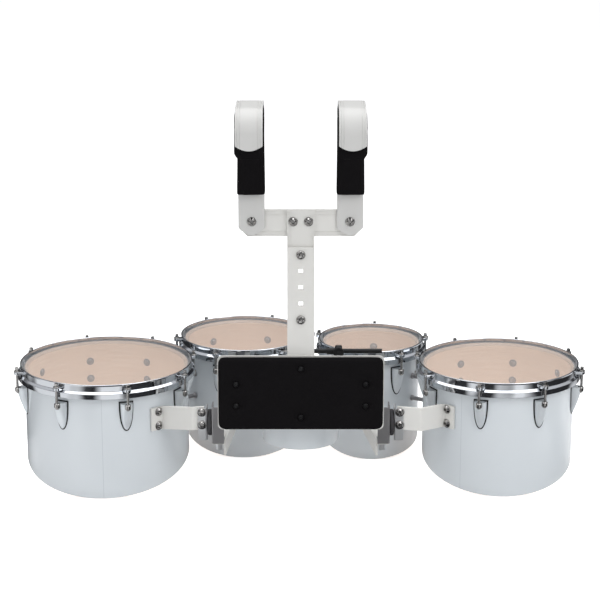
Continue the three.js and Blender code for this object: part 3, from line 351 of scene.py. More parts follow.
# Studio: lamps by place, target, size and energy
LAMPS = {
    "key": ((2.4, -2.6, 3.0), (0, 0, 0.3), (2.4, 2.4), 62),
    "fill": ((-2.6, -2.6, 2.4), (0, 0, 0.3), (2.6, 2.2), 26),
    "top": ((0, 0.4, 3.6), (0, 0, 0), (4.5, 3.5), 95),
}
WORLD_STRENGTH = 0.42
FLOOR_SIZE = 40
FLOOR_GLOW = 0.62
# Patches painted dark on the floor for glossy rays only: a painted reflection
FLOOR_REFLECTION_PATCHES = {"scale": 1.1, "clear_from": 0.46, "dark_from": 0.55}
ROOM_PATCHES = {"scale": 1.7, "clear_from": 0.46, "dark_from": 0.57}
ROOM_BOTTOM = (0.03, 0.03, 0.033, 1)
ROOM_TOP = (0.86, 0.88, 0.91, 1)
ROOM_GREYS = ((0.16, 0.05), (0.3, 0.4), (0.5, 0.62))
ROOM_COOLNESS = 1.03

# Colours of the finishes that have a look of their own
WRAP_LIGHT = (0.70, 0.735, 0.76)
WRAP_DARK = (0.66, 0.70, 0.73)
SEAM_COLOUR = (0.56, 0.60, 0.63, 1)
SEAM_HALF_WIDTH = 0.0005
WOOD_LIGHT = (0.93, 0.77, 0.64, 1)
WOOD_WARM = (0.88, 0.70, 0.57, 1)
WOOD_DARK = (0.80, 0.58, 0.44, 1)
FILM_LIGHT = (0.92, 0.88, 0.85)
FILM_DARK = (0.86, 0.82, 0.79)
FILM_LEAST = 0.13
FILM_MOST = 0.17
CLOTH_DARK = (0.0045, 0.004, 0.0045, 1)
CLOTH_LIGHT = (0.011, 0.010, 0.011, 1)

# Worn finishes: name, slot, light and dark colour, range of roughness, metallic, scales of its clouds and
# grain, and strength and depth of its relief
WORN_FINISHES = {
    "chrome": ("polished chrome", "chrome", (0.64, 0.66, 0.69), (0.58, 0.60, 0.63), (0.04, 0.1), 1.0,
               (30, 1500), (0.03, 0.0001)),
    "cast": ("cast lug chrome", "chrome", (0.77, 0.81, 0.84), (0.69, 0.73, 0.76), (0.3, 0.42), 0.3,
             (60, 1400), (0.1, 0.0002)),
    "hoop_metal": ("flesh hoop aluminium", "chrome", (0.86, 0.85, 0.84), (0.78, 0.77, 0.76), (0.24, 0.36),
                   0.35, (40, 1400), (0.1, 0.0002)),
    "bolt": ("bright bolt steel", "chrome", (0.46, 0.45, 0.44), (0.36, 0.35, 0.34), (0.1, 0.2), 1.0,
             (120, 1800), (0.06, 0.0001)),
    "satin": ("satin bracket chrome", "chrome", (0.80, 0.81, 0.82), (0.72, 0.73, 0.74), (0.28, 0.4), 0.75,
              (50, 1500), (0.08, 0.0001)),
    "washer": ("lug bolt steel", "chrome", (0.42, 0.42, 0.44), (0.34, 0.34, 0.36), (0.3, 0.45), 0.8,
               (80, 1800), (0.1, 0.0002)),
    "coat": ("warm white powder coat", "harness", (0.74, 0.73, 0.70), (0.70, 0.69, 0.66), (0.38, 0.52), 0.0,
             (7, 1300), (0.22, 0.0003)),
    "blade_coat": ("shoulder blade powder coat", "blade", (0.62, 0.615, 0.60), (0.58, 0.575, 0.56),
                   (0.38, 0.52), 0.0, (8, 1300), (0.22, 0.0003)),
    "edge_wood": ("bearing edge wood", "shell", (0.56, 0.44, 0.36), (0.48, 0.37, 0.3), (0.4, 0.55), 0.0,
                  (40, 900), (0.1, 0.0002)),
    "gasket": ("black lug gasket", "rubber", (0.012, 0.012, 0.013), (0.008, 0.008, 0.009), (0.55, 0.75), 0.0,
               (60, 1500), (0.2, 0.0003)),
    "rubber": ("isolator rubber", "rubber", (0.05, 0.048, 0.052), (0.035, 0.034, 0.037), (0.6, 0.85), 0.0,
               (50, 900), (0.35, 0.0005)),
    "grey": ("grey channel metal", "grey", (0.36, 0.352, 0.36), (0.30, 0.295, 0.30), (0.36, 0.5), 0.75,
             (20, 1200), (0.14, 0.0003)),
    "black": ("black oxide steel", "black_steel", (0.008, 0.008, 0.009), (0.005, 0.005, 0.006), (0.28, 0.42),
              0.3, (40, 1400), (0.12, 0.0002)),
}


def carrier_origin():
    """The drawing's origin in the frame: the middle of the lower bar, a head drop above the heads."""
    bar_low, bar_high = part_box("lower_bar")
    head_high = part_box("center_head")[1]
    return Vector(((bar_low.x + bar_high.x) / 2, bar_high.y - BAR_BACK_Y * MM, head_high.z + HEAD_DROP * MM))


def measure_drums():
    """Adds each drum's radius and its centre, which is the middle of its head in the frame."""
    for name, drum in DRUMS.items():
        low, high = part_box(f"{name}_head")
        middle = ((low + high) / 2 - ORIGIN) / MM
        drum["centre"] = Vector((middle.x, middle.y, 0))
        drum["radius"] = drum["inches"] * INCH / 2


ORIGIN = carrier_origin()
measure_drums()


# Outlines

def filleted(corners, steps):
    """A closed outline through (a, b, radius) corners, each rounded by an arc of its radius."""
    points = []
    for i, (a, b, radius) in enumerate(corners):
        corner = Vector((a, b))
        if radius == 0:
            points.append(corner)
            continue
        back = (Vector(corners[i - 1][:2]) - corner).normalized()
        ahead = (Vector(corners[(i + 1) % len(corners)][:2]) - corner).normalized()
        half = back.angle(ahead) / 2
        start = corner + back * (radius / math.tan(half))
        end = corner + ahead * (radius / math.tan(half))
        centre = corner + (back + ahead).normalized() * (radius / math.sin(half))
        turn = (start - centre).angle_signed(end - centre)
        for step in range(steps + 1):
            points.append(centre + Matrix.Rotation(-turn * step / steps, 2) @ (start - centre))
    return points


def rounded_rectangle(width, bottom, height, corner, steps=8):
    """A rectangle with its middle on X = 0."""
    right, top = width / 2, bottom + height
    return filleted([(-right, bottom, corner), (right, bottom, corner), (right, top, corner),
                     (-right, top, corner)], steps)


def oval(x, y, half_width, half_height, steps):
    angles = [FULL_TURN * i / steps for i in range(steps)]
    return [(x + half_width * math.cos(a), y + half_height * math.sin(a)) for a in angles]


def bent_line(corners, bend_radius, steps=8):
    """Stations along a bent line, as (point, sideways direction) pairs."""
    line = [Vector(corners[0])]
    for before, corner, after in zip(corners, corners[1:], corners[2:]):
        corner = Vector(corner)
        into = (corner - Vector(before)).normalized()
        out = (Vector(after) - corner).normalized()
        turn = math.atan2(into.x * out.y - into.y * out.x, into.dot(out))
        if abs(turn) < math.radians(STRAIGHT_DEGREES):
            continue
        start = corner - into * (bend_radius * math.tan(abs(turn) / 2))
        centre = start + Vector((-into.y, into.x)) * math.copysign(1, turn) * bend_radius
        for step in range(steps + 1):
            line.append(centre + Matrix.Rotation(turn * step / steps, 2) @ (start - centre))
    line.append(Vector(corners[-1]))
    stations = []
    for i, point in enumerate(line):
        before = (point - line[i - 1]).normalized() if i > 0 else None
        after = (line[i + 1] - point).normalized() if i < len(line) - 1 else None
        along = ((before or after) + (after or before)).normalized()
        stations.append((point, Vector((-along.y, along.x)) / along.dot(before or after)))
    return stations


# Solids

def closed_up(solid):
    bmesh.ops.remove_doubles(solid, verts=solid.verts, dist=WELD_GAP)
    bmesh.ops.recalc_face_normals(solid, faces=solid.faces)
    return solid


def spun(corners, arc_steps, steps=BOLT_STEPS):
    """Turned round Z from (radius, height, rounding) corners: a ring, unless they start on the axis."""
    solid = bmesh.new()
    verts = [solid.verts.new((radius, 0, height)) for radius, height in filleted(corners, arc_steps)]
    pairs = list(zip(verts, verts[1:]))
    if corners[0][0] > 0:
        pairs.append((verts[-1], verts[0]))
    edges = [solid.edges.new(pair) for pair in pairs]
    bmesh.ops.spin(solid, geom=verts + edges, cent=(0, 0, 0), axis=(0, 0, 1), dvec=(0, 0, 0), angle=FULL_TURN,
                   steps=steps, use_merge=True, use_duplicate=False)
    return closed_up(solid)


def plate(outline, depth, holes=()):
    """A flat plate drawn in X and Y, with holes, standing on Z = 0."""
    solid = bmesh.new()
    edges = []
    for loop in (outline, *holes):
        verts = [solid.verts.new((x, y, 0)) for x, y in loop]
        edges += [solid.edges.new((verts[i - 1], verts[i])) for i in range(len(verts))]
    bmesh.ops.triangle_fill(solid, use_beauty=True, use_dissolve=False, edges=edges, normal=(0, 0, 1))
    grown = bmesh.ops.extrude_face_region(solid, geom=solid.faces[:], use_keep_orig=True)
    lifted = [item for item in grown["geom"] if isinstance(item, bmesh.types.BMVert)]
    bmesh.ops.translate(solid, verts=lifted, vec=(0, 0, depth))
    return closed_up(solid)


def lofted(rings):
    """A solid through rings of as many points each, closed by a face at both ends."""
    solid = bmesh.new()
    loops = [[solid.verts.new(point) for point in ring] for ring in rings]
    for near, far in zip(loops, loops[1:]):
        for i in range(len(near)):
            solid.faces.new((near[i - 1], near[i], far[i], far[i - 1]))
    solid.faces.new(loops[0])
    solid.faces.new(loops[-1])
    return closed_up(solid)


def block(low, high):
    """A box between two corners."""
    solid = bmesh.new()
    bmesh.ops.create_cube(solid, size=1)
    bmesh.ops.scale(solid, vec=[b - a for a, b in zip(low, high)], verts=solid.verts)
    bmesh.ops.translate(solid, vec=[(a + b) / 2 for a, b in zip(low, high)], verts=solid.verts)
    return solid


def eased(solid, width=EDGE_ROUND, segments=2):
    """Takes the sharpness off a solid's edges."""
    limit = math.radians(SHARP_DEGREES)
    sharp = [e for e in solid.edges if len(e.link_faces) == 2 and e.calc_face_angle() > limit]
    bmesh.ops.bevel(solid, geom=sharp, offset=width, offset_type="OFFSET", segments=segments, profile=0.5,
                    affect="EDGES", clamp_overlap=True, material=-1)
    return solid


def moved(solid, matrix):
    solid.transform(matrix)
    return solid


def mesh_object(name, solid):
    mesh = bpy.data.meshes.new(name)
    solid.to_mesh(mesh)
    solid.free()
    made = bpy.data.objects.new(name, mesh)
    bpy.context.scene.collection.objects.link(made)
    return made


def gathered(solids):
    """One solid that holds all the given ones."""
    whole = bmesh.new()
    for solid in solids:
        mesh = bpy.data.meshes.new("part")
        solid.to_mesh(mesh)
        whole.from_mesh(mesh)
        bpy.data.meshes.remove(mesh)
        solid.free()
    return whole


def copies(solid, matrices):
    """One solid that holds a copy of the given one at each matrix."""
    spread = [moved(solid.copy(), matrix) for matrix in matrices]
    solid.free()
    return gathered(spread)


def carved(solid, cutters):
    """Cuts the cutters out of a solid."""
    target = mesh_object("carving", solid)
    for cutter in cutters:
        modifier = target.modifiers.new("cut", "BOOLEAN")
        modifier.operation = "DIFFERENCE"
        modifier.solver = "EXACT"
        modifier.object = mesh_object("cutter", cutter)
    result = bmesh.new()
    shaped = target.evaluated_get(bpy.context.evaluated_depsgraph_get())
    result.from_mesh(shaped.to_mesh())
    shaped.to_mesh_clear()
    for modifier in list(target.modifiers):
        bpy.data.objects.remove(modifier.object)
    bpy.data.objects.remove(target)
    return result


# Places

def at(x, y, z):
    return Matrix.Translation((x, y, z))


def upright(back_y):
    """Stands a plate drawn in X and Y up, facing the player, its back at back_y."""
    return at(0, back_y, 0) @ Matrix.Rotation(QUARTER_TURN, 4, "X")


def across(x):
    """Lays a plate drawn in Y and Z on its side, from x towards +X."""
    return at(x, 0, 0) @ Matrix(((0, 0, 1, 0), (1, 0, 0, 0), (0, 1, 0, 0), (0, 0, 0, 1)))


def aimed(start, direction):
    """Turns +Z to a direction and moves to a start."""
    return Matrix.Translation(start) @ Vector(direction).to_track_quat("Z", "Y").to_matrix().to_4x4()


def outward(degrees):
    """Away from a drum's axis, at an angle counted from its player side towards +X."""
    angle = math.radians(degrees)
    return Vector((math.sin(angle), -math.cos(angle), 0))


def around(drum, degrees):
    """Takes a piece made for the player side of a drum to an angle round it."""
    return Matrix.Translation(drum["centre"]) @ Matrix.Rotation(math.radians(degrees), 4, "Z")


def mirror_x(side):
    return Matrix.Diagonal((side, 1, 1, 1))


# Materials

def new_node(tree, kind, inputs, **settings):
    """A node with its settings, and its inputs linked from sockets or set to plain values."""
    node = tree.nodes.new(kind)
    for setting, value in settings.items():
        setattr(node, setting, value)
    for label, value in inputs.items():
        if isinstance(value, bpy.types.NodeSocket):
            tree.links.new(value, node.inputs[label])
        else:
            node.inputs[label].default_value = value
    return node


def noise(tree, place, scale, detail=3, roughness=0.55):
    inputs = {"Vector": place, "Scale": scale, "Detail": detail, "Roughness": roughness}
    return new_node(tree, "ShaderNodeTexNoise", inputs).outputs["Fac"]


def worked_out(tree, operation, *terms):
    """The result of a math node on one or two terms."""
    return new_node(tree, "ShaderNodeMath", dict(enumerate(terms)), operation=operation).outputs[0]


def spread(tree, value, low, high):
    """Maps a value from 0...1 to a range."""
    inputs = {"Value": value, "To Min": low, "To Max": high}
    return new_node(tree, "ShaderNodeMapRange", inputs).outputs["Result"]


def blended(tree, factor, first, second):
    """Blends two colours."""
    inputs = {"Factor": factor, "A": first, "B": second}
    return new_node(tree, "ShaderNodeMix", inputs, data_type="RGBA").outputs["Result"]


def relief(tree, height, strength, distance):
    inputs = {"Height": height, "Strength": strength, "Distance": distance}
    return new_node(tree, "ShaderNodeBump", inputs).outputs["Normal"]


def object_place(tree):
    return tree.nodes.new("ShaderNodeTexCoord").outputs["Object"]


def separated(tree, vector):
    return new_node(tree, "ShaderNodeSeparateXYZ", {"Vector": vector}).outputs


def make_finish_group():
    """Handled, lightly worn surfaces: a broad cloudiness and a fine grain, in colour, gloss and relief."""
    colour, number = "NodeSocketColor", "NodeSocketFloat"
    group = bpy.data.node_groups.new("worn finish", "ShaderNodeTree")
    for label, kind in (("Place", "NodeSocketVector"), ("Light", colour), ("Dark", colour),
                        ("Cloud Scale", number), ("Grain Scale", number), ("Smoothest", number),
                        ("Roughest", number)):
        group.interface.new_socket(name=label, in_out="INPUT", socket_type=kind)
    for label, kind in (("Color", colour), ("Roughness", number), ("Height", number)):
        group.interface.new_socket(name=label, in_out="OUTPUT", socket_type=kind)
    given = group.nodes.new("NodeGroupInput").outputs
    cloud = noise(group, given["Place"], given["Cloud Scale"])
    grain = noise(group, given["Place"], given["Grain Scale"], 5, 0.6)
    both = worked_out(group, "MULTIPLY", cloud, grain)
    doubled = worked_out(group, "MULTIPLY", both, 2)
    new_node(group, "NodeGroupOutput", {
        "Color": blended(group, cloud, given["Light"], given["Dark"]),
        "Roughness": spread(group, doubled, given["Smoothest"], given["Roughest"]),
        "Height": grain,
    })
    return group


FINISH_GROUP = make_finish_group()


def worn_finish(tree, light, dark, rough, scales):
    """The outputs of the shared finish in a material's own colours."""
    return new_node(tree, "ShaderNodeGroup", {
        "Place": object_place(tree), "Light": (*light, 1), "Dark": (*dark, 1), "Cloud Scale": scales[0],
        "Grain Scale": scales[1], "Smoothest": rough[0], "Roughest": rough[1],
    }, node_tree=FINISH_GROUP).outputs


def new_material(name, look, *values):
    """A material with a shader whose inputs are what its look gives."""
    material = bpy.data.materials.new(name)
    material.use_nodes = True
    tree = material.node_tree
    tree.nodes.clear()
    shader = new_node(tree, "ShaderNodeBsdfPrincipled", look(tree, *values))
    new_node(tree, "ShaderNodeOutputMaterial", {"Surface": shader.outputs["BSDF"]})
    return material


def around_place(tree):
    """Where a point lies on a shell: its own UV, in metres round from the seam and metres up."""
    return new_node(tree, "ShaderNodeUVMap", {}, uv_map="around").outputs["UV"]


def plain_look(tree, light, dark, rough, metallic, scales, bump):
    """The shared worn finish alone."""
    finish = worn_finish(tree, light, dark, rough, scales)
    return {"Base Color": finish["Color"], "Roughness": finish["Roughness"], "Metallic": metallic,
            "Normal": relief(tree, finish["Height"], *bump)}


def wrap_look(tree):
    """Cool white gloss wrap with the thin line of its overlap."""
    finish = worn_finish(tree, WRAP_LIGHT, WRAP_DARK, (0.16, 0.24), (6, 700))
    from_seam = worked_out(tree, "ABSOLUTE", separated(tree, around_place(tree))["X"])
    line = worked_out(tree, "LESS_THAN", from_seam, SEAM_HALF_WIDTH)
    return {"Base Color": blended(tree, line, finish["Color"], SEAM_COLOUR), "Roughness": finish["Roughness"],
            "Coat Weight": 0.35, "Coat Roughness": 0.08,
            "Normal": relief(tree, finish["Height"], 0.05, 0.0001)}


def wood_look(tree):
    """Pale maple, its grain running round the shell, clear-coated."""
    place = around_place(tree)
    stretched = new_node(tree, "ShaderNodeMapping", {"Vector": place, "Scale": (9, 260, 1)}).outputs["Vector"]
    grain = noise(tree, stretched, 1, 6, 0.62)
    base = blended(tree, noise(tree, place, 5), WOOD_LIGHT, WOOD_WARM)
    streaks = spread(tree, grain, -0.5, 0.9)
    return {"Base Color": blended(tree, streaks, base, WOOD_DARK), "Coat Weight": 0.2,
            "Roughness": spread(tree, grain, 0.34, 0.5), "Normal": relief(tree, grain, 0.15, 0.0002)}


def film_look(tree):
    """Clear drum film, slightly milky, denser where its fine coating has more grain."""
    finish = worn_finish(tree, FILM_LIGHT, FILM_DARK, (0.12, 0.24), (14, 1200))
    return {"Base Color": finish["Color"], "Roughness": finish["Roughness"],
            "Alpha": spread(tree, finish["Height"], FILM_LEAST, FILM_MOST),
            "Normal": relief(tree, finish["Height"], 0.03, 0.0001)}


def cloth_look(tree):
    """Black brushed knit over foam: a fine diagonal weave with lint."""
    place = object_place(tree)
    weaves = []
    for turn in (math.radians(45), math.radians(-45)):
        slanted = new_node(tree, "ShaderNodeMapping", {"Vector": place, "Rotation": (turn, turn, 0)})
        wave = {"Vector": slanted.outputs["Vector"], "Scale": 170, "Distortion": 3, "Detail": 2}
        weaves.append(new_node(tree, "ShaderNodeTexWave", wave).outputs["Fac"])
    lint = noise(tree, place, 420, 6, 0.7)
    height = worked_out(tree, "ADD", worked_out(tree, "MULTIPLY", *weaves), lint)
    worn = worked_out(tree, "MULTIPLY", noise(tree, place, 25), 0.5)
    fibre = blended(tree, lint, CLOTH_DARK, CLOTH_LIGHT)
    return {"Base Color": blended(tree, worn, fibre, CLOTH_DARK), "Roughness": spread(tree, lint, 0.85, 1),
            "Specular IOR Level": 0.06, "Normal": relief(tree, height, 0.5, 0.0006)}


MATERIALS = {
    "wrap": new_material("white drum wrap", wrap_look),
    "wood": new_material("pale maple ply", wood_look),
    "film": new_material("clear drum film", film_look),
    "cloth": new_material("black foam cloth", cloth_look),
}
for finish_label, (finish_name, finish_slot, *finish_values) in WORN_FINISHES.items():
    MATERIALS[finish_label] = new_material(finish_name, plain_look, *finish_values)


# Finished pieces

def finished(name, solid, *looks, node=None, body="root", smooth_degrees=SHARP_DEGREES, weighted=True):
    """Sets a solid into the frame as a named piece with its looks, in place of a node if one is given."""
    solid.transform(Matrix.Translation(ORIGIN) @ Matrix.Scale(MM, 4))
    bmesh.ops.recalc_face_normals(solid, faces=solid.faces)
    piece = mesh_object(name, solid)
    for look in looks:
        piece.data.materials.append(MATERIALS[look])
    piece.data.shade_smooth()
    piece.data.set_sharp_from_angle(angle=math.radians(smooth_degrees))
    if weighted:
        even = piece.modifiers.new("even shading", "WEIGHTED_NORMAL")
        even.keep_sharp = True
    if node:
        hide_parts(node)
    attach(piece, body)
    return piece


# Fasteners

def shank_and_nut(grip, nut_height=NUT_HEIGHT):
    """The corners of a shank from Z = 0 and of the nut past its grip."""
    return [(BOLT_RADIUS, 0, 0), (BOLT_RADIUS, grip, 0), (NUT_RADIUS, grip, 0.4),
            (NUT_RADIUS, grip + nut_height, 0.8), (0, grip + nut_height, 0)]


def domed_bolt(start, direction, grip, nut_height=NUT_HEIGHT):
    """A washer and a button head with a round recess before its start, a shank, and a nut past its grip."""
    top, floor = -BOLT_HEAD_HEIGHT, BOLT_RECESS_DEPTH - BOLT_HEAD_HEIGHT
    bolt = spun([
        (0, floor, 0), (BOLT_RECESS_RADIUS, floor, 0), (BOLT_RECESS_RADIUS, top, 0.5),
        (BOLT_RIM_RADIUS * 0.6, top, 2.4), (BOLT_RIM_RADIUS, -1.4, 0.5), (BOLT_HEAD_RADIUS, -1.3, 0.4),
        (BOLT_HEAD_RADIUS, 0, 0.3), *shank_and_nut(grip, nut_height),
    ], 5)
    return moved(bolt, aimed(start, direction))


def carriage_bolt(grip):
    """A low round head whose middle is dished, a shank along +Z and a nut past its grip."""
    radius, top = BOLT_HEAD_RADIUS, -BOLT_HEAD_HEIGHT
    return spun([
        (0, top + 2.6, 0), (2.2, top + 2.2, 1), (4.4, top, 1.4), (radius * 0.78, top + 1, 2),
        (radius, -1.2, 1), (radius, 0, 0.3), *shank_and_nut(grip),
    ], 5)


def shell_bolt(drum, degrees, z, metal):
    """A domed bolt through a metal flange outside a shell, with its nut inside."""
    outside = drum["radius"] + CLEARANCE + metal
    inside = drum["radius"] - SHELL_WALL - NUT_RADIUS ** 2 / drum["radius"] - CLEARANCE
    start = drum["centre"] + outward(degrees) * outside + Vector((0, 0, z))
    return domed_bolt(start, -outward(degrees), outside - inside)


# Drums

def angle_round(point):
    return math.atan2(point.x, -point.y)


def unrolled(solid, radius, seam_degrees):
    """Gives a shell its UV: metres round from the seam, and metres up, or outwards on its level edges."""
    layer = solid.loops.layers.uv.new("around")
    seam = math.radians(seam_degrees)
    for face in solid.faces:
        on_edge = abs(face.normal.z) > LEVEL_FACE
        centre = math.remainder(angle_round(face.calc_center_median()) - seam, FULL_TURN)
        for loop in face.loops:
            spot = loop.vert.co
            angle = centre + math.remainder(angle_round(spot) - seam - centre, FULL_TURN)
            height = math.hypot(spot.x, spot.y) if on_edge else spot.z
            loop[layer].uv = (angle * radius * MM, height * MM)


def make_wall(drum):
    """The open shell: gloss wrap outside, wood inside, a slanted bottom edge and a bearing edge on top."""
    radius, depth = drum["radius"], drum["depth"]
    inner = radius - SHELL_WALL
    edge_top = -HEAD_DROP - FILM_SEAT - CLEARANCE
    wall = spun([
        (radius, -depth, 0.9), (radius, edge_top - BEARING_INSET, 1), (radius - BEARING_INSET, edge_top, 0.7),
        (inner, edge_top - BEARING_SLANT, 2), (inner, -depth, 0.9),
    ], 3, RING_STEPS)
    for vert in wall.verts:
        if vert.co.z < -depth + SHELL_WALL:
            vert.co.z += drum["slope"] * (vert.co.y + radius)
    unrolled(wall, radius, drum["seam"])
    bearing_bottom = -HEAD_DROP - BEARING_SLANT - BEARING_INSET - CLEARANCE
    for face in wall.faces:
        middle = face.calc_center_median()
        outside = math.hypot(middle.x, middle.y) > radius - EDGE_ROUND and abs(face.normal.z) < SIDE_FACE
        bearing = middle.z > bearing_bottom and face.normal.z > SLANTED_FACE
        face.material_index = 0 if outside else 2 if bearing else 1
    return wall


def make_film(drum):
    """The film over the bearing edge, its collar running down into the flesh hoop."""
    outer = drum["radius"] + COLLAR_OFFSET
    inner = outer - FILM_THICKNESS
    under, rim = -HEAD_DROP - FILM_THICKNESS, -FLESH_HOOP_DROP - COLLAR_TAIL
    return spun([
        (0, -HEAD_DROP, 0), (outer, -HEAD_DROP, 2.4), (outer, rim, 0), (inner, rim, 0), (inner, under, 2),
        (0, under, 0),
    ], 5, RING_STEPS)


def make_flesh_hoop(drum):
    inner = drum["radius"] + COLLAR_OFFSET
    outer = inner + FLESH_HOOP_WIDTH
    top, bottom = -FLESH_HOOP_DROP, -FLESH_HOOP_DROP - FLESH_HOOP_HEIGHT
    corners = [(inner, top, 1.2), (outer, top, 1.2), (outer, bottom, 1.2), (inner, bottom, 1.2)]
    return spun(corners, 4, RING_STEPS)


def make_hoop_ring(drum):
    """Counter hoop: rolled top rim, straight wall, a step and a lower flange, open below."""
    radius = drum["radius"]
    inner, lip = radius + HOOP_INNER, radius + HOOP_LIP
    waist, flange = radius + HOOP_WAIST, radius + HOOP_FLANGE
    seat = -FLESH_HOOP_DROP + CLEARANCE
    skirt = flange - HOOP_METAL / 2
    step_top, step_bottom = -HOOP_WAIST_DROP, -HOOP_WAIST_DROP - HOOP_STEP
    return spun([
        (inner, seat, 0), (inner, HOOP_RISE, 1.3), (lip, HOOP_RISE, 1.5), (waist, HOOP_RISE - HOOP_ROLL, 1.2),
        (waist, step_top, 1.4), (flange, step_bottom, 1.2), (flange, HOOP_BOTTOM, 0.5),
        (skirt, HOOP_BOTTOM, 0.4), (skirt, seat, 0.6),
    ], 4, RING_STEPS)


def make_ear(drum):
    """The lug of the hoop that a tension rod pulls on, at the player side of a drum."""
    half = EAR_WIDTH / 2
    root = -(drum["radius"] + HOOP_WAIST - HOOP_METAL / 2)
    end = half - drum["radius"] - EAR_REACH
    angles = [math.pi * i / EAR_ARC_STEPS for i in range(EAR_ARC_STEPS + 1)]
    arc = [(half * math.cos(a), end - half * math.sin(a)) for a in angles]
    bore = ROD_RADIUS + CLEARANCE
    hole = oval(0, -drum["radius"] - ROD_OFFSET, bore, bore, EAR_HOLE_STEPS)
    ear = plate([(-half - 2, root), *arc[::-1], (half + 2, root)], EAR_HEIGHT, [hole])
    return moved(eased(ear, 0.9, 3), at(0, 0, -EAR_DROP - EAR_HEIGHT))


def make_tension_rod(drum):
    """A rod with a collar and a square head, on the player side of a drum."""
    half = ROD_HEAD_WIDTH / 2
    collar_bottom = -EAR_DROP + CLEARANCE
    collar_top = collar_bottom + ROD_COLLAR_HEIGHT
    shank = spun([
        (0, -ROD_DEPTH, 0), (ROD_RADIUS, -ROD_DEPTH, 0.5), (ROD_RADIUS, collar_bottom, 0),
        (ROD_COLLAR_RADIUS, collar_bottom, 0.6), (ROD_COLLAR_RADIUS, collar_top, 0.8),
        (half, collar_top, 0.3), (half, collar_top + 1, 0), (0, collar_top + 1, 0),
    ], 3)
    head = eased(block((-half, -half, collar_top), (half, half, ROD_HEAD_TOP)), 0.7, 3)
    return moved(gathered([shank, head]), at(0, -drum["radius"] - ROD_OFFSET, 0))


def lug_width_share(share):
    """Width of a lug at a share of its height, full at the top and closing in a round point."""
    return (1 - share ** LUG_SIDE_POWER) ** 0.5


def make_lug_casting(drum):
    """A cast lug: a bowed body that narrows to a point."""
    back = -drum["radius"] + LUG_SUNK
    angles = [math.pi * column / LUG_COLUMNS for column in range(LUG_COLUMNS + 1)]
    rings = []
    for level in range(LUG_LEVELS + 1):
        share = LUG_LAST_LEVEL * math.sin(QUARTER_TURN * level / LUG_LEVELS)
        width = max(lug_width_share(share), LUG_LEAST_SHARE) * LUG_WIDTH / 2
        reach = (1 - LUG_REACH_LOSS * share ** LUG_REACH_POWER) * LUG_CASTING_REACH
        rings.append([
            (width * math.cos(a), back - reach * math.sin(a) ** LUG_ROUND_POWER, -share * LUG_HEIGHT)
            for a in angles
        ])
    return moved(eased(lofted(rings), 1.1, 3), at(0, 0, -LUG_TOP_DROP))


def make_lug_collar(drum):
    """The steel collar in the top of a lug, which takes the rod."""
    radius, bottom = LUG_COLLAR_RADIUS, -LUG_COLLAR_HEIGHT
    collar = spun([
        (0, 0.6, 0), (radius - 1, 0.6, 1), (radius, -1.2, 0.5), (radius, bottom, 2),
        (radius - 3.4, bottom - 4, 1.5), (0, bottom - 5, 0),
    ], 4)
    return moved(collar, at(0, -drum["radius"] - ROD_OFFSET + LUG_COLLAR_INSET, -LUG_TOP_DROP))


def make_gasket(drum):
    """The black gasket that a lug stands on, a little wider than the lug all round."""
    half = LUG_WIDTH / 2 + GASKET_MARGIN
    height = LUG_HEIGHT + 2 * GASKET_MARGIN
    shares = [math.sin(QUARTER_TURN * i / GASKET_STEPS) for i in range(GASKET_STEPS + 1)]
    right = [(half * lug_width_share(share), -share * height) for share in shares]
    outline = right + [(-x, y) for x, y in right[-2::-1]]
    gasket = eased(plate(outline, GASKET_THICKNESS), 0.4)
    return moved(gasket, at(0, 0, GASKET_MARGIN - LUG_TOP_DROP) @ upright(-drum["radius"] + 1))


def make_lug_bolt(drum):
    """A washer and a pan head inside the shell, on its player side."""
    top, head = WASHER_THICKNESS, PAN_HEAD_RADIUS
    bolt = spun([
        (0, 0, 0), (WASHER_RADIUS, 0, 0.4), (WASHER_RADIUS, top, 0.4), (head, top, 0), (head, top + 2.6, 1.2),
        (0, top + 3, 0),
    ], 3)
    seat = drum["radius"] - SHELL_WALL - WASHER_RADIUS ** 2 / (2 * drum["radius"]) + 0.1
    return moved(bolt, aimed((0, -seat, 0), (0, 1, 0)))


def build_drum(name, drum):
    turns = [around(drum, drum["first_lug"] + i * 360 / drum["lugs"]) for i in range(drum["lugs"])]
    centre = Matrix.Translation(drum["centre"])
    finished(f"{name}_wall", moved(make_wall(drum), centre), "wrap", "wood", "edge_wood",
             node=f"{name}_shell", smooth_degrees=WALL_SHARP_DEGREES)
    finished(f"{name}_film", moved(make_film(drum), centre), "film", node=f"{name}_head", weighted=False)
    finished(f"{name}_flesh_hoop", moved(make_flesh_hoop(drum), centre), "hoop_metal")
    hoop = gathered([moved(make_hoop_ring(drum), centre), copies(make_ear(drum), turns)])
    finished(f"{name}_counter_hoop", hoop, "chrome", node=f"{name}_hoop")
    for words, make, look in (
        ("tension_rods", make_tension_rod, "bolt"), ("lugs", make_lug_casting, "cast"),
        ("lug_collars", make_lug_collar, "bolt"), ("lug_gaskets", make_gasket, "gasket"),
    ):
        finished(f"{name}_{words}", copies(make(drum), turns), look)
    heights = [LUG_BOLT_MIDDLE + share * LUG_BOLT_PITCH for share in (-0.5, 0.5)]
    bolt_places = [turn @ at(0, 0, z) for turn in turns for z in heights]
    finished(f"{name}_lug_bolts", copies(make_lug_bolt(drum), bolt_places), "washer")


# Carrier

def upright_panel(outline, thickness, back_y, edge=BAR_EDGE, holes=()):
    return moved(eased(plate(outline, thickness, holes), edge), upright(back_y))


def groove_cutters(ends, places, front_y, level):
    """Cutters for grooves in the front face of an upright plate, along X when level and else along Z."""
    cutters = []
    for place in places:
        sides = (place - GROOVE_WIDTH / 2, place + GROOVE_WIDTH / 2)
        (x0, x1), (z0, z1) = (ends, sides) if level else (sides, ends)
        cutters.append(block((x0, front_y - GROOVE_WIDTH, z0), (x1, front_y + GROOVE_DEPTH, z1)))
    return cutters


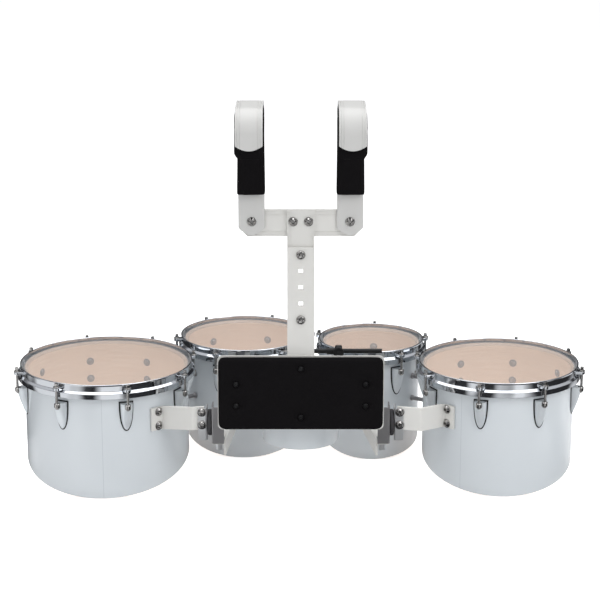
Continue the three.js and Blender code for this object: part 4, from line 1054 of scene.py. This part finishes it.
def build_lower_bar():
    """The fixed bar, with square holes for the height bolts."""
    outline = rounded_rectangle(BAR_WIDTH, BAR_BOTTOM, BAR_TOP - BAR_BOTTOM, BAR_CORNER, 4)
    half = SQUARE_HOLE / 2
    middles = [HOLE_TOP - i * HOLE_PITCH for i in range(HOLE_COUNT)]
    holes = [[(-half, z - half), (half, z - half), (half, z + half), (-half, z + half)] for z in middles]
    bar = upright_panel(outline, BAR_THICKNESS, BAR_BACK_Y, holes=holes)
    finished("height_bar", bar, "coat", node="lower_bar")


def build_stem():
    """The sliding stem: a grooved flat bar with a long slot."""
    outline = rounded_rectangle(BAR_WIDTH, STEM_BOTTOM, STEM_TOP - STEM_BOTTOM, BAR_CORNER, 4)
    slot_top = HOLE_TOP + SLOT_WIDTH / 2 + CLEARANCE
    slot = rounded_rectangle(SLOT_WIDTH, SLOT_BOTTOM, slot_top - SLOT_BOTTOM, SLOT_ROUND, 6)
    stem = upright_panel(outline, BAR_THICKNESS, STEM_BACK_Y, holes=[slot])
    places = [side * (BAR_WIDTH / 2 - inset) for side in (-1, 1) for inset in STEM_GROOVE_INSETS]
    ends = (BAR_TOP - HOLE_PITCH, STEM_TOP + HOLE_PITCH)
    stem = carved(stem, groove_cutters(ends, places, STEM_FRONT_Y, level=False))
    finished("sliding_stem", stem, "coat", node="t_stem", body="yoke")


def build_cross_bar():
    """The grooved bar that carries the shoulder blades, its lower corners cut off."""
    half = CROSS_LENGTH / 2
    outline = filleted([
        (-half + CROSS_CHAMFER, CROSS_BOTTOM, 1), (half - CROSS_CHAMFER, CROSS_BOTTOM, 1),
        (half, CROSS_BOTTOM + CROSS_CHAMFER, 1), (half, STEM_TOP, 1), (-half, STEM_TOP, 1),
        (-half, CROSS_BOTTOM + CROSS_CHAMFER, 1),
    ], 3)
    bar = upright_panel(outline, BAR_THICKNESS, CROSS_BACK_Y)
    ends = (-half - CROSS_CHAMFER, half + CROSS_CHAMFER)
    bar = carved(bar, groove_cutters(ends, CROSS_GROOVES, CROSS_FRONT_Y, level=True))
    finished("yoke_cross_bar", bar, "coat", node="cross_bar", body="yoke")


def build_yoke_bolts():
    grip = CROSS_BACK_Y - STEM_FRONT_Y + 2 * CLEARANCE
    for name, x in YOKE_BOLTS.items():
        bolt = domed_bolt((x, STEM_FRONT_Y - CLEARANCE, YOKE_BOLT_Z), (0, 1, 0), grip)
        finished(f"{name}_dressed", bolt, "bolt", node=name, body="yoke")
    grip = STEM_BACK_Y - BAR_BACK_Y + BAR_THICKNESS + 2 * CLEARANCE
    for name, hole in HEIGHT_BOLT_HOLES.items():
        start = (0, BAR_FRONT_Y - CLEARANCE, HOLE_TOP - hole * HOLE_PITCH)
        finished(f"{name}_dressed", moved(carriage_bolt(grip), aimed(start, (0, 1, 0))), "bolt", node=name)


def blade_groove(middle):
    """Corners of one groove in the outer face of a blade."""
    left, right = middle - GROOVE_WIDTH / 2, middle + GROOVE_WIDTH / 2
    face = BAR_THICKNESS / 2
    floor = face - GROOVE_DEPTH
    return [(left, face, 0), (left + GROOVE_SLANT, floor, 0), (right - GROOVE_SLANT, floor, 0),
            (right, face, 0)]


def blade_section():
    """Round a blade, along its grooved outer face and back along its inner face."""
    half, thin = BLADE_WIDTH / 2, BAR_THICKNESS / 2
    near_edge, near_flat = BLADE_GROOVE_INSETS
    flat = [BLADE_FLAT * (i / BLADE_FLAT_STEPS - 1) for i in range(2 * BLADE_FLAT_STEPS + 1)]
    return filleted([
        (-half, thin, 1.2), *blade_groove(-half + near_edge), *blade_groove(-half + near_flat),
        *[(place, thin, 0) for place in flat],
        *blade_groove(half - near_flat), *blade_groove(half - near_edge),
        (half, thin, 1.2), (half, -thin, 1.2),
        *[(place * half / BLADE_FLAT * BLADE_INNER_SPREAD, -thin, 0) for place in flat[::-1]],
        (-half, -thin, 1.2),
    ], 3)


def build_blade(name, x):
    """A strip bent over the shoulder, with bowed ends."""
    line = bent_line([(BLADE_MIDDLE_Y, BLADE_BOTTOM), (BLADE_MIDDLE_Y, BLADE_CREST),
                      (BLADE_TIP_Y, BLADE_CREST), (BLADE_TIP_Y, BLADE_TIP)], BLADE_BEND, BLADE_BEND_STEPS)
    bows = [BLADE_END_BOW, *[0] * (len(line) - 2), BLADE_TIP_BOW]
    section = blade_section()
    rings = []
    for (point, sideways), bow in zip(line, bows):
        ring = []
        for place, through in section:
            spot = point - sideways * through + Vector((0, bow * (place / (BLADE_WIDTH / 2)) ** 2))
            ring.append((x + place, *spot))
        rings.append(ring)
    finished(f"{name}_shoulder_blade", lofted(rings), "blade_coat", node=f"{name}_blade",
             body=f"{name}_shoulder", weighted=False)


# Soft pieces

def foam_section(half_width, half_thickness):
    """A foam's cross-section: drawn in at its sides, and a little crowned on one face."""
    section = []
    for i in range(FOAM_SECTION_STEPS):
        angle = FULL_TURN * i / FOAM_SECTION_STEPS
        place = math.copysign(abs(math.cos(angle)) ** FOAM_SIDE_POWER, math.cos(angle)) * half_width
        through = math.copysign(abs(math.sin(angle)) ** FOAM_FACE_POWER, math.sin(angle)) * half_thickness
        if through > 0:
            through *= 1 + FOAM_CROWN * (1 - (place / half_width) ** 2)
        section.append((place, through))
    return section


def apply_modifiers(piece):
    shaped = piece.evaluated_get(bpy.context.evaluated_depsgraph_get())
    mesh = bpy.data.meshes.new_from_object(shaped)
    mesh.materials.clear()
    for material in piece.data.materials:
        mesh.materials.append(material)
    piece.modifiers.clear()
    old = piece.data
    piece.data = mesh
    bpy.data.meshes.remove(old)


def puffed(piece, cap_mm, held, voxel_mm):
    """Remeshes a soft piece and lets cloth pressure fill it, with the held points kept still."""
    remesh = piece.modifiers.new("even mesh", "REMESH")
    remesh.mode = "VOXEL"
    remesh.voxel_size = voxel_mm * MM
    apply_modifiers(piece)
    start = [vert.co.copy() for vert in piece.data.vertices]
    group = piece.vertex_groups.new(name="held")
    group.add([i for i, spot in enumerate(start) if held((spot - ORIGIN) / MM)], 1.0, "REPLACE")
    cloth = piece.modifiers.new("cloth", "CLOTH")
    cloth.settings.use_pressure = True
    cloth.settings.uniform_pressure_force = CLOTH_PRESSURE
    cloth.settings.effector_weights.gravity = 0
    cloth.settings.vertex_group_mass = group.name
    cloth.settings.quality = CLOTH_QUALITY
    for number in range(1, CLOTH_FRAMES + 1):
        bpy.context.scene.frame_set(number)
    apply_modifiers(piece)
    bpy.context.scene.frame_set(1)
    for vert, spot in zip(piece.data.vertices, start):
        shift = vert.co - spot
        if shift.length > cap_mm * MM:
            vert.co = spot + shift.normalized() * cap_mm * MM
    piece.vertex_groups.clear()


def smoothed_once(piece):
    divide = piece.modifiers.new("softer", "SUBSURF")
    divide.levels = 1
    divide.render_levels = 1
    apply_modifiers(piece)
    piece.data.shade_smooth()


def soft_piece(name, solid, node, body):
    piece = finished(name, solid, "cloth", node=node, body=body, smooth_degrees=180, weighted=False)
    return piece


def build_foam(name, x):
    """The foam sleeve under a shoulder blade, from low on its back leg to past its front tip."""
    back_y, front_y, top = BLADE_MIDDLE_Y - FOAM_INSET, BLADE_TIP_Y + FOAM_INSET, BLADE_CREST - FOAM_INSET
    line = bent_line([(back_y, FOAM_BOTTOM), (back_y, top), (front_y, top), (front_y, FOAM_TIP)],
                     BLADE_BEND - FOAM_INSET, FOAM_BEND_STEPS)
    section = foam_section(FOAM_WIDTH / 2 - FOAM_SLACK[0], FOAM_THICKNESS / 2 - FOAM_SLACK[1])
    tip, tip_sideways = line.pop()
    line = [(point, sideways, 1) for point, sideways in line]
    for i in range(FOAM_TIP_STEPS + 1):
        angle = FOAM_TIP_TURN * i / FOAM_TIP_STEPS
        rise = FOAM_TIP_ROUND * (1 - math.sin(angle))
        drawn_in = FOAM_TIP_ROUND * (1 - math.cos(angle))
        line.append((tip + Vector((0, rise)), tip_sideways, 1 - 2 * drawn_in / FOAM_WIDTH))
    rings = [[(x + place * width_share, *(point + sideways * through)) for place, through in section]
             for point, sideways, width_share in line]
    solid = eased(lofted(rings), FOAM_EDGE, 3)
    piece = soft_piece(f"{name}_shoulder_foam", solid, f"{name}_foam", f"{name}_shoulder")
    near = FOAM_INSET - FOAM_THICKNESS / 2 + FOAM_HELD_DEPTH

    def held(spot):
        """On the side that lies against the blade."""
        return spot.y > BLADE_MIDDLE_Y - near or spot.z > BLADE_CREST - near or spot.y < BLADE_TIP_Y + near

    puffed(piece, FOAM_PUFF, held, FOAM_VOXEL)
    smoothed_once(piece)


def build_belly_pad():
    """The belly pad, flat against its plate, crowned on the player side, dimpled round its screws."""
    top, bottom = PLATE_TOP - PAD_TOP_MARGIN, PLATE_TOP - PLATE_HEIGHT + PAD_BOTTOM_MARGIN
    rings = []
    for depth_share, inset in PAD_PROFILE:
        height = top - bottom - 2 * inset
        outline = rounded_rectangle(PAD_WIDTH - 2 * inset, (top + bottom) / 2 - height / 2, height,
                                    PAD_CORNER - inset / 2)
        rings.append([(x, PAD_BACK_Y - depth_share * PAD_THICKNESS, z) for x, z in outline])
    piece = soft_piece("belly_pad_cover", lofted(rings), "belly_pad", "root")

    def held(spot):
        """Against the plate, or under a screw head."""
        distances = [math.hypot(spot.x - x, spot.z - z) for x, z in SCREW_PLACES.values()]
        return spot.y > PAD_BACK_Y - PAD_HELD_DEPTH or min(distances) < SCREW_WELL_RADIUS

    puffed(piece, PAD_PUFF, held, PAD_VOXEL)
    for vert in piece.data.vertices:
        spot = (vert.co - ORIGIN) / MM
        if spot.y > PAD_FRONT_Y + PAD_THICKNESS / 2:
            continue
        for x, z in SCREW_PLACES.values():
            reach = math.hypot(spot.x - x, spot.z - z) / DIMPLE_REACH
            if reach < 1:
                vert.co.y += (1 - reach ** 2) ** 2 * DIMPLE_DEPTH * MM
    smoothed_once(piece)


def build_belly_plate():
    outline = rounded_rectangle(PLATE_WIDTH, PLATE_TOP - PLATE_HEIGHT, PLATE_HEIGHT, PLATE_CORNER)
    finished("belly_back_plate", upright_panel(outline, PLATE_THICKNESS, PLATE_BACK_Y, PLATE_EDGE),
             "coat", node="belly_plate")


def build_belly_screws():
    """Black button screws with a round recess, seated in the pad's dimples."""
    seat_y = PAD_FRONT_Y - CLEARANCE + SCREW_WELL_DEPTH
    top = -SCREW_HEAD_HEIGHT
    screw = spun([
        (0, top + 1.6, 0), (1.8, top + 1.4, 0), (2, top, 0.4), (3.6, top, 1.6),
        (SCREW_HEAD_RADIUS, -0.6, 0.5), (SCREW_HEAD_RADIUS, 0, 0.2), (SCREW_RADIUS, 0, 0),
        (SCREW_RADIUS, SCREW_LENGTH, 0), (0, SCREW_LENGTH, 0),
    ], 4)
    for name, (x, z) in SCREW_PLACES.items():
        finished(f"{name}_dressed", moved(screw.copy(), aimed((x, seat_y, z), (0, 1, 0))), "black", node=name)
    screw.free()


# Side hardware

def standing_strip(corners, thickness, bend_radius, low, high):
    """A bent strip on edge, drawn in X and Y, from one height to another."""
    line = bent_line(corners, bend_radius)
    left = [point + sideways * thickness / 2 for point, sideways in line]
    right = [point - sideways * thickness / 2 for point, sideways in line]
    return moved(plate(left + right[::-1], high - low), at(0, 0, low))


def build_channel(name, side):
    """A sheet that turns back round the end of the plate, with a flange on the plate and a tab below."""
    sheet_y = BAR_FRONT_Y + SHEET_METAL / 2 + CLEARANCE
    outer = CHANNEL_OUTER_X - SHEET_METAL / 2
    back_y = BAR_FRONT_Y + CHANNEL_DEPTH
    web = standing_strip([(CHANNEL_INNER_X, sheet_y), (outer, sheet_y), (outer, back_y)],
                         SHEET_METAL, SHEET_METAL, CHANNEL_BOTTOM, CHANNEL_TOP)
    flange = block((CHANNEL_FLANGE_X, sheet_y - SHEET_METAL / 2, CHANNEL_FLANGE_BOTTOM),
                   (CHANNEL_INNER_X, sheet_y + SHEET_METAL / 2, CHANNEL_FLANGE_TOP))
    tab = block((CHANNEL_INNER_X, sheet_y, CHANNEL_BOTTOM),
                (outer, back_y - SHEET_METAL, CHANNEL_BOTTOM + SHEET_METAL))
    channel = gathered([eased(web), eased(flange), eased(tab)])
    finished(f"{name}_side_channel", moved(channel, mirror_x(side)), "grey", node=f"{name}_channel")


def build_isolator(name, side):
    """The rubber disc and the bolt through it."""
    hole = BOLT_RADIUS + CLEARANCE
    disc = spun([
        (hole, 0, 0), (ISOLATOR_RADIUS, 0, 3), (ISOLATOR_RADIUS, ISOLATOR_THICKNESS, 3),
        (hole, ISOLATOR_THICKNESS, 0),
    ], 6, ISOLATOR_STEPS)
    disc = moved(disc, aimed((side * ISOLATOR_X, ISOLATOR_Y, ISOLATOR_Z), (side, 0, 0)))
    finished(f"{name}_rubber_isolator", disc, "rubber", node=f"{name}_isolator")
    grip = SHEET_METAL + ISOLATOR_THICKNESS + SHEET_METAL + 4 * CLEARANCE
    start = (side * (CHANNEL_OUTER_X - SHEET_METAL - CLEARANCE), ISOLATOR_Y, ISOLATOR_Z)
    bolt = domed_bolt(start, (side, 0, 0), grip)
    finished(f"{name}_pivot_bolt", bolt, "bolt", node=f"{name}_isolator_bolt")


def build_bracket(name, side):
    leg_x = BRACKET_X + SHEET_METAL / 2
    leg_y = BRACKET_FRONT_Y + SHEET_METAL / 2
    strip = standing_strip([(leg_x, BRACKET_FRONT_Y + BRACKET_LEG_DEPTH), (leg_x, leg_y),
                            (BRACKET_X + SHEET_METAL + BRACKET_LEG_WIDTH, leg_y)],
                           SHEET_METAL, SHEET_METAL, BRACKET_BOTTOM, BRACKET_TOP)
    bolt_x = BRACKET_X + SHEET_METAL + BRACKET_LEG_WIDTH / 2
    grip = SHEET_METAL + 2 * CLEARANCE + ARM_THICKNESS
    bolts = [domed_bolt((bolt_x, BRACKET_FRONT_Y, z), (0, 1, 0), grip)
             for z in (ARM_Z + ARM_BOLT_PITCH / 2, ARM_Z - ARM_BOLT_PITCH / 2)]
    finished(f"{name}_corner_bracket", moved(eased(strip), mirror_x(side)), "satin", node=f"{name}_bracket")
    finished(f"{name}_bracket_bolts", moved(gathered(bolts), mirror_x(side)), "bolt")


def flange_on(drum, degrees, metal, side):
    """The middle of a flange of sheet metal against a shell, and the way along it."""
    normal = outward(degrees)
    middle = drum["centre"] + normal * (drum["radius"] + CLEARANCE + metal / 2)
    return middle, Vector((-normal.y, normal.x, 0)) * side


def build_outer_arm(name, kind):
    """The strip from the bracket to a flange on the front drum, falling a little on its way."""
    side, run, degrees = kind["side"], kind["run"], kind["front_degrees"]
    drum = DRUMS[kind["front"]]
    start_x = BRACKET_X + 2 * SHEET_METAL
    arm_y = BRACKET_FRONT_Y + SHEET_METAL + CLEARANCE + ARM_THICKNESS / 2
    middle, tangent = flange_on(drum, degrees, ARM_THICKNESS, side)
    inner = middle - tangent * ARM_FLANGE_INNER
    outer = middle + tangent * ARM_FLANGE_OUTER
    strip = standing_strip([(side * start_x, arm_y), (side * (start_x + run), arm_y), inner.xy, outer.xy],
                           ARM_THICKNESS, ARM_BEND, ARM_Z - ARM_HEIGHT / 2, ARM_Z + ARM_HEIGHT / 2)
    run_x = side * (start_x + run / 2)
    fall_run = abs(inner.x - run_x)
    for vert in strip.verts:
        past = min(max(0, side * (vert.co.x - run_x)), fall_run)
        vert.co.z -= past * ARM_FALL / fall_run
    finished(f"{name}_outer_strap", eased(strip, METAL_EDGE), "coat", node=f"{name}_outer_arm")
    heights = [ARM_Z - ARM_FALL + share * ARM_DRUM_BOLT_PITCH for share in (-0.5, 0.5)]
    bolts = gathered([shell_bolt(drum, degrees, z, ARM_THICKNESS) for z in heights])
    finished(f"{name}_outer_strap_bolts", bolts, "bolt")


def build_inner_arm(name, kind):
    """An angle section from under the channel to a flange on the back drum."""
    side, degrees = kind["side"], kind["back_degrees"]
    drum = DRUMS[kind["back"]]
    top = INNER_ARM_TOP
    middle, tangent = flange_on(drum, degrees, INNER_ARM_METAL, -side)
    corner = (middle - tangent * INNER_ARM_FLANGE / 2).xy
    end = (middle + tangent * INNER_ARM_FLANGE / 2).xy
    near = Vector((side * CHANNEL_INNER_X, INNER_ARM_START_Y))
    web = standing_strip([near, corner, end], INNER_ARM_METAL, ARM_BEND, top - INNER_ARM_HEIGHT, top)
    along = (corner - near).normalized()
    out = Vector((along.y, -along.x)) * side
    leg_end = near.lerp(corner, INNER_ARM_LEG_SHARE)
    tab_front = TAB_BOLT_Y - INNER_ARM_LEG / 2
    tab_x = side * (CHANNEL_INNER_X + INNER_ARM_LEG)
    leg = plate([(near.x, tab_front), (tab_x, tab_front), (tab_x, near.y), leg_end + out * INNER_ARM_LEG,
                 leg_end, near], INNER_ARM_METAL)
    leg = moved(leg, at(0, 0, top - INNER_ARM_METAL))
    finished(f"{name}_inner_strap", gathered([eased(web, METAL_EDGE), eased(leg, METAL_EDGE)]), "coat",
             node=f"{name}_inner_arm")
    bolt = shell_bolt(drum, degrees, top - INNER_ARM_HEIGHT / 2, INNER_ARM_METAL)
    finished(f"{name}_inner_strap_bolt", bolt, "bolt")
    start = (side * TAB_BOLT_X, TAB_BOLT_Y, CHANNEL_BOTTOM + SHEET_METAL + CLEARANCE)
    grip = SHEET_METAL + INNER_ARM_METAL + 3 * CLEARANCE
    finished(f"{name}_tab_bolt_dressed", domed_bolt(start, (0, 0, -1), grip, TAB_NUT_HEIGHT), "satin",
             node=f"{name}_tab_bolt")


def flared_tube(radius, length):
    """A tube that flares to a flange at both ends."""
    flange, waist = radius * FLARE_SHARE, radius * TUBE_WAIST_SHARE
    return spun([
        (0, 0, 0), (flange, 0, 0.5), (flange, 2, 0.5), (waist, 5, 3), (waist, length - 5, 3),
        (flange, length - 2, 0.5), (flange, length, 0.5), (0, length, 0),
    ], 4, TUBE_STEPS)


def inner_bolt_head(drum, direction, z):
    """The bolt head and washer of a spacer or standoff, inside a shell, on its side in a direction."""
    head = spun([
        (0, -5, 0), (PAN_HEAD_RADIUS, -5, 1), (5.2, -WASHER_THICKNESS, 0),
        (WASHER_RADIUS, -WASHER_THICKNESS, 0.4), (WASHER_RADIUS, 0, 0.3), (3.5, 0, 0), (3.5, 10, 0),
        (0, 10, 0),
    ], 3)
    depth = drum["radius"] - SHELL_WALL - WASHER_RADIUS ** 2 / drum["radius"]
    return moved(head, aimed(drum["centre"] + direction * depth + Vector((0, 0, z)), direction))


def build_spacer(name, one, other, z):
    """A flared tube that holds two shells apart, with its bolt heads inside them."""
    apart = (other["centre"] - one["centre"]).normalized()
    lift = Vector((0, 0, z))
    start = one["centre"] + apart * (one["radius"] + CLEARANCE) + lift
    end = other["centre"] - apart * (other["radius"] + CLEARANCE) + lift
    tube = moved(flared_tube(SPACER_RADIUS, (end - start).length), aimed(start, apart))
    finished(f"{name}_tube", tube, "grey", node=name)
    heads = gathered([inner_bolt_head(one, apart, z), inner_bolt_head(other, -apart, z)])
    finished(f"{name}_bolts", heads, "washer")


def build_standoffs():
    drum = DRUMS["center"]
    front = BAR_BACK_Y + CLEARANCE
    length = drum["centre"].y - drum["radius"] - CLEARANCE - front
    for name, z in STANDOFF_HEIGHTS.items():
        tube = moved(flared_tube(STANDOFF_RADIUS, length), aimed((0, front, z), (0, 1, 0)))
        finished(f"{name}_tube", tube, "coat", node=name)
        finished(f"{name}_bolt", inner_bolt_head(drum, Vector((0, -1, 0)), z), "washer")


def build_accessory_rod():
    rod = spun([(0, 0, 0), (ACCESSORY_RADIUS, 0, 1), (ACCESSORY_RADIUS, ACCESSORY_LENGTH, 1),
                (0, ACCESSORY_LENGTH, 0)], 4, TUBE_STEPS)
    rod = moved(rod, aimed((ACCESSORY_LEFT, ACCESSORY_Y, ACCESSORY_Z), (1, 0, 0)))
    finished("accessory_bar", rod, "black", node="accessory_rod", body="accessory_rod")


def build_clamp():
    """The rod's clamp: an upright oval collar with a neck and a knob, on a foot behind the plate."""
    bore = ACCESSORY_RADIUS + CLEARANCE
    outline = oval(ACCESSORY_Y, ACCESSORY_Z, CLAMP_DEPTH / 2, CLAMP_HEIGHT / 2, CLAMP_STEPS)
    collar = plate(outline, CLAMP_WIDTH, [oval(ACCESSORY_Y, ACCESSORY_Z, bore, bore, CLAMP_BORE_STEPS)])
    collar = moved(eased(collar, CLAMP_EDGE, 6), across(CLAMP_LEFT))
    neck = spun([
        (bore, 0, 0.4), (CLAMP_NECK_RADIUS, 0, 0.8), (CLAMP_NECK_RADIUS, CLAMP_NECK_LENGTH, 0.3),
        (bore, CLAMP_NECK_LENGTH, 0.3),
    ], 3, CLAMP_STEPS)
    neck = moved(neck, aimed((CLAMP_LEFT - CLAMP_NECK_LENGTH, ACCESSORY_Y, ACCESSORY_Z), (1, 0, 0)))
    foot = block((CLAMP_X - CLAMP_FOOT_WIDTH / 2, BAR_FRONT_Y, CLAMP_FOOT_TOP - CLAMP_FOOT_HEIGHT),
                 (CLAMP_X + CLAMP_FOOT_WIDTH / 2, BAR_FRONT_Y + CLAMP_FOOT_THICKNESS, CLAMP_FOOT_TOP))
    post = block((CLAMP_LEFT, BAR_FRONT_Y, CLAMP_FOOT_TOP - CLAMP_HEIGHT / 2),
                 (CLAMP_X + CLAMP_WIDTH / 2, ACCESSORY_Y, CLAMP_FOOT_TOP))
    radius, thickness = CLAMP_KNOB_RADIUS, CLAMP_KNOB_THICKNESS
    knob = spun([
        (0, 2, 0), (radius * 0.5, 1.6, 1.4), (radius * 0.66, 0, 1.2), (radius, 0, 1.6),
        (radius, thickness, 1), (0, thickness, 0),
    ], 5, CLAMP_KNOB_STEPS)
    knob_y = ACCESSORY_Y - CLAMP_DEPTH / 2 - thickness + 1
    knob = moved(knob, aimed((CLAMP_X, knob_y, ACCESSORY_Z), (0, 1, 0)))
    solid = gathered([collar, neck, knob, eased(foot, METAL_EDGE), eased(post, METAL_EDGE)])
    finished("accessory_clamp", solid, "black", node="rod_clamp")


# Studio

def dark_patches(tree, place, scale, clear_from, dark_from):
    """A mask of soft-edged patches, 0 where clear and 1 where dark."""
    clouds = noise(tree, place, scale, 2, 0.5)
    inputs = {"Value": clouds, "From Min": clear_from, "From Max": dark_from}
    return new_node(tree, "ShaderNodeMapRange", inputs).outputs["Result"]


def floor_look(tree):
    """Pale floor that the camera sees as white; for glossy rays its colour is painted dark in patches, a
    painted reflection that chrome sees as dark studio cards.
    """
    place = object_place(tree)
    pale = blended(tree, noise(tree, place, 3), (0.96, 0.96, 0.96, 1), (0.94, 0.94, 0.94, 1))
    path = tree.nodes.new("ShaderNodeLightPath").outputs
    # Painted reflection: dark patches painted into the floor's colour, seen only by glossy rays
    patches = dark_patches(tree, place, **FLOOR_REFLECTION_PATCHES)
    painted_reflection_mask = worked_out(tree, "MULTIPLY", path["Is Glossy Ray"], patches)
    return {"Base Color": blended(tree, painted_reflection_mask, pale, (0.02, 0.02, 0.022, 1)),
            "Emission Color": worked_out(tree, "MULTIPLY", path["Is Camera Ray"], FLOOR_GLOW),
            "Emission Strength": 1, "Roughness": 0.9, "Specular IOR Level": 0.1}


def build_floor():
    panel = bmesh.new()
    bmesh.ops.create_grid(panel, x_segments=1, y_segments=1, size=FLOOR_SIZE / 2)
    made = mesh_object("studio_floor", panel)
    made.data.materials.append(new_material("pale studio floor", floor_look))


def soft_lamp(name, place, target, size, energy):
    data = bpy.data.lights.new(name, "AREA")
    data.shape = "RECTANGLE"
    data.size, data.size_y = size
    data.energy = energy
    lamp = bpy.data.objects.new(name, data)
    bpy.context.scene.collection.objects.link(lamp)
    lamp.location = place
    lamp.rotation_euler = (Vector(target) - Vector(place)).to_track_quat("-Z", "Y").to_euler()


def ray_mix(tree, ray, otherwise, seen):
    return new_node(tree, "ShaderNodeMixShader", {"Fac": ray, 1: otherwise, 2: seen}).outputs["Shader"]


def backdrop(tree, colour, strength):
    inputs = {"Color": colour, "Strength": strength}
    return new_node(tree, "ShaderNodeBackground", inputs).outputs["Background"]


def build_world():
    """A white backdrop; in reflections a dark room at eye level with a bright ceiling."""
    world = bpy.data.worlds.new("white studio")
    bpy.context.scene.world = world
    world.use_nodes = True
    tree = world.node_tree
    tree.nodes.clear()
    way = tree.nodes.new("ShaderNodeTexCoord").outputs["Generated"]
    room = new_node(tree, "ShaderNodeValToRGB", {"Fac": separated(tree, way)["Z"]})
    room.color_ramp.elements[0].color = ROOM_BOTTOM
    room.color_ramp.elements[1].color = ROOM_TOP
    for height, grey in ROOM_GREYS:
        room.color_ramp.elements.new(height).color = (grey, grey, grey * ROOM_COOLNESS, 1)
    patches = dark_patches(tree, way, **ROOM_PATCHES)
    mirrored = blended(tree, patches, room.outputs["Color"], (0.03, 0.03, 0.034, 1))
    path = tree.nodes.new("ShaderNodeLightPath").outputs
    lighting = backdrop(tree, (0.95, 0.97, 1, 1), WORLD_STRENGTH)
    reflected = ray_mix(tree, path["Is Glossy Ray"], lighting, backdrop(tree, mirrored, 1))
    seen = ray_mix(tree, path["Is Camera Ray"], reflected, backdrop(tree, (1, 1, 1, 1), 1))
    new_node(tree, "ShaderNodeOutputWorld", {"Surface": seen})


def build_camera():
    data = bpy.data.cameras.new("player side")
    data.lens = CAMERA_LENS
    data.sensor_width = SENSOR_WIDTH
    camera = bpy.data.objects.new("player side", data)
    camera.location = ORIGIN + Vector(CAMERA_PLACE) * MM
    camera.rotation_euler = (QUARTER_TURN - CAMERA_TILT, 0, 0)
    bpy.context.scene.collection.objects.link(camera)
    bpy.context.scene.camera = camera


for drum_name, drum_size in DRUMS.items():
    build_drum(drum_name, drum_size)
build_lower_bar()
build_stem()
build_cross_bar()
build_yoke_bolts()
for side_name, side_kind in SIDES.items():
    build_blade(side_name, side_kind["side"] * BLADE_X)
    build_foam(side_name, side_kind["side"] * BLADE_X)
build_belly_plate()
build_belly_pad()
build_belly_screws()
for side_name, side_kind in SIDES.items():
    build_channel(side_name, side_kind["side"])
    build_isolator(side_name, side_kind["side"])
    build_bracket(side_name, side_kind["side"])
    build_outer_arm(side_name, side_kind)
    build_inner_arm(side_name, side_kind)
for pair, (one_name, other_name) in SPACED_PAIRS.items():
    for row, row_height in SPACER_HEIGHTS.items():
        build_spacer(f"{pair}_{row}", DRUMS[one_name], DRUMS[other_name], row_height)
build_standoffs()
build_accessory_rod()
build_clamp()
build_floor()
for lamp_name, lamp_values in LAMPS.items():
    soft_lamp(lamp_name, *lamp_values)
build_world()
build_camera()
bpy.context.scene.view_settings.view_transform = "Standard"
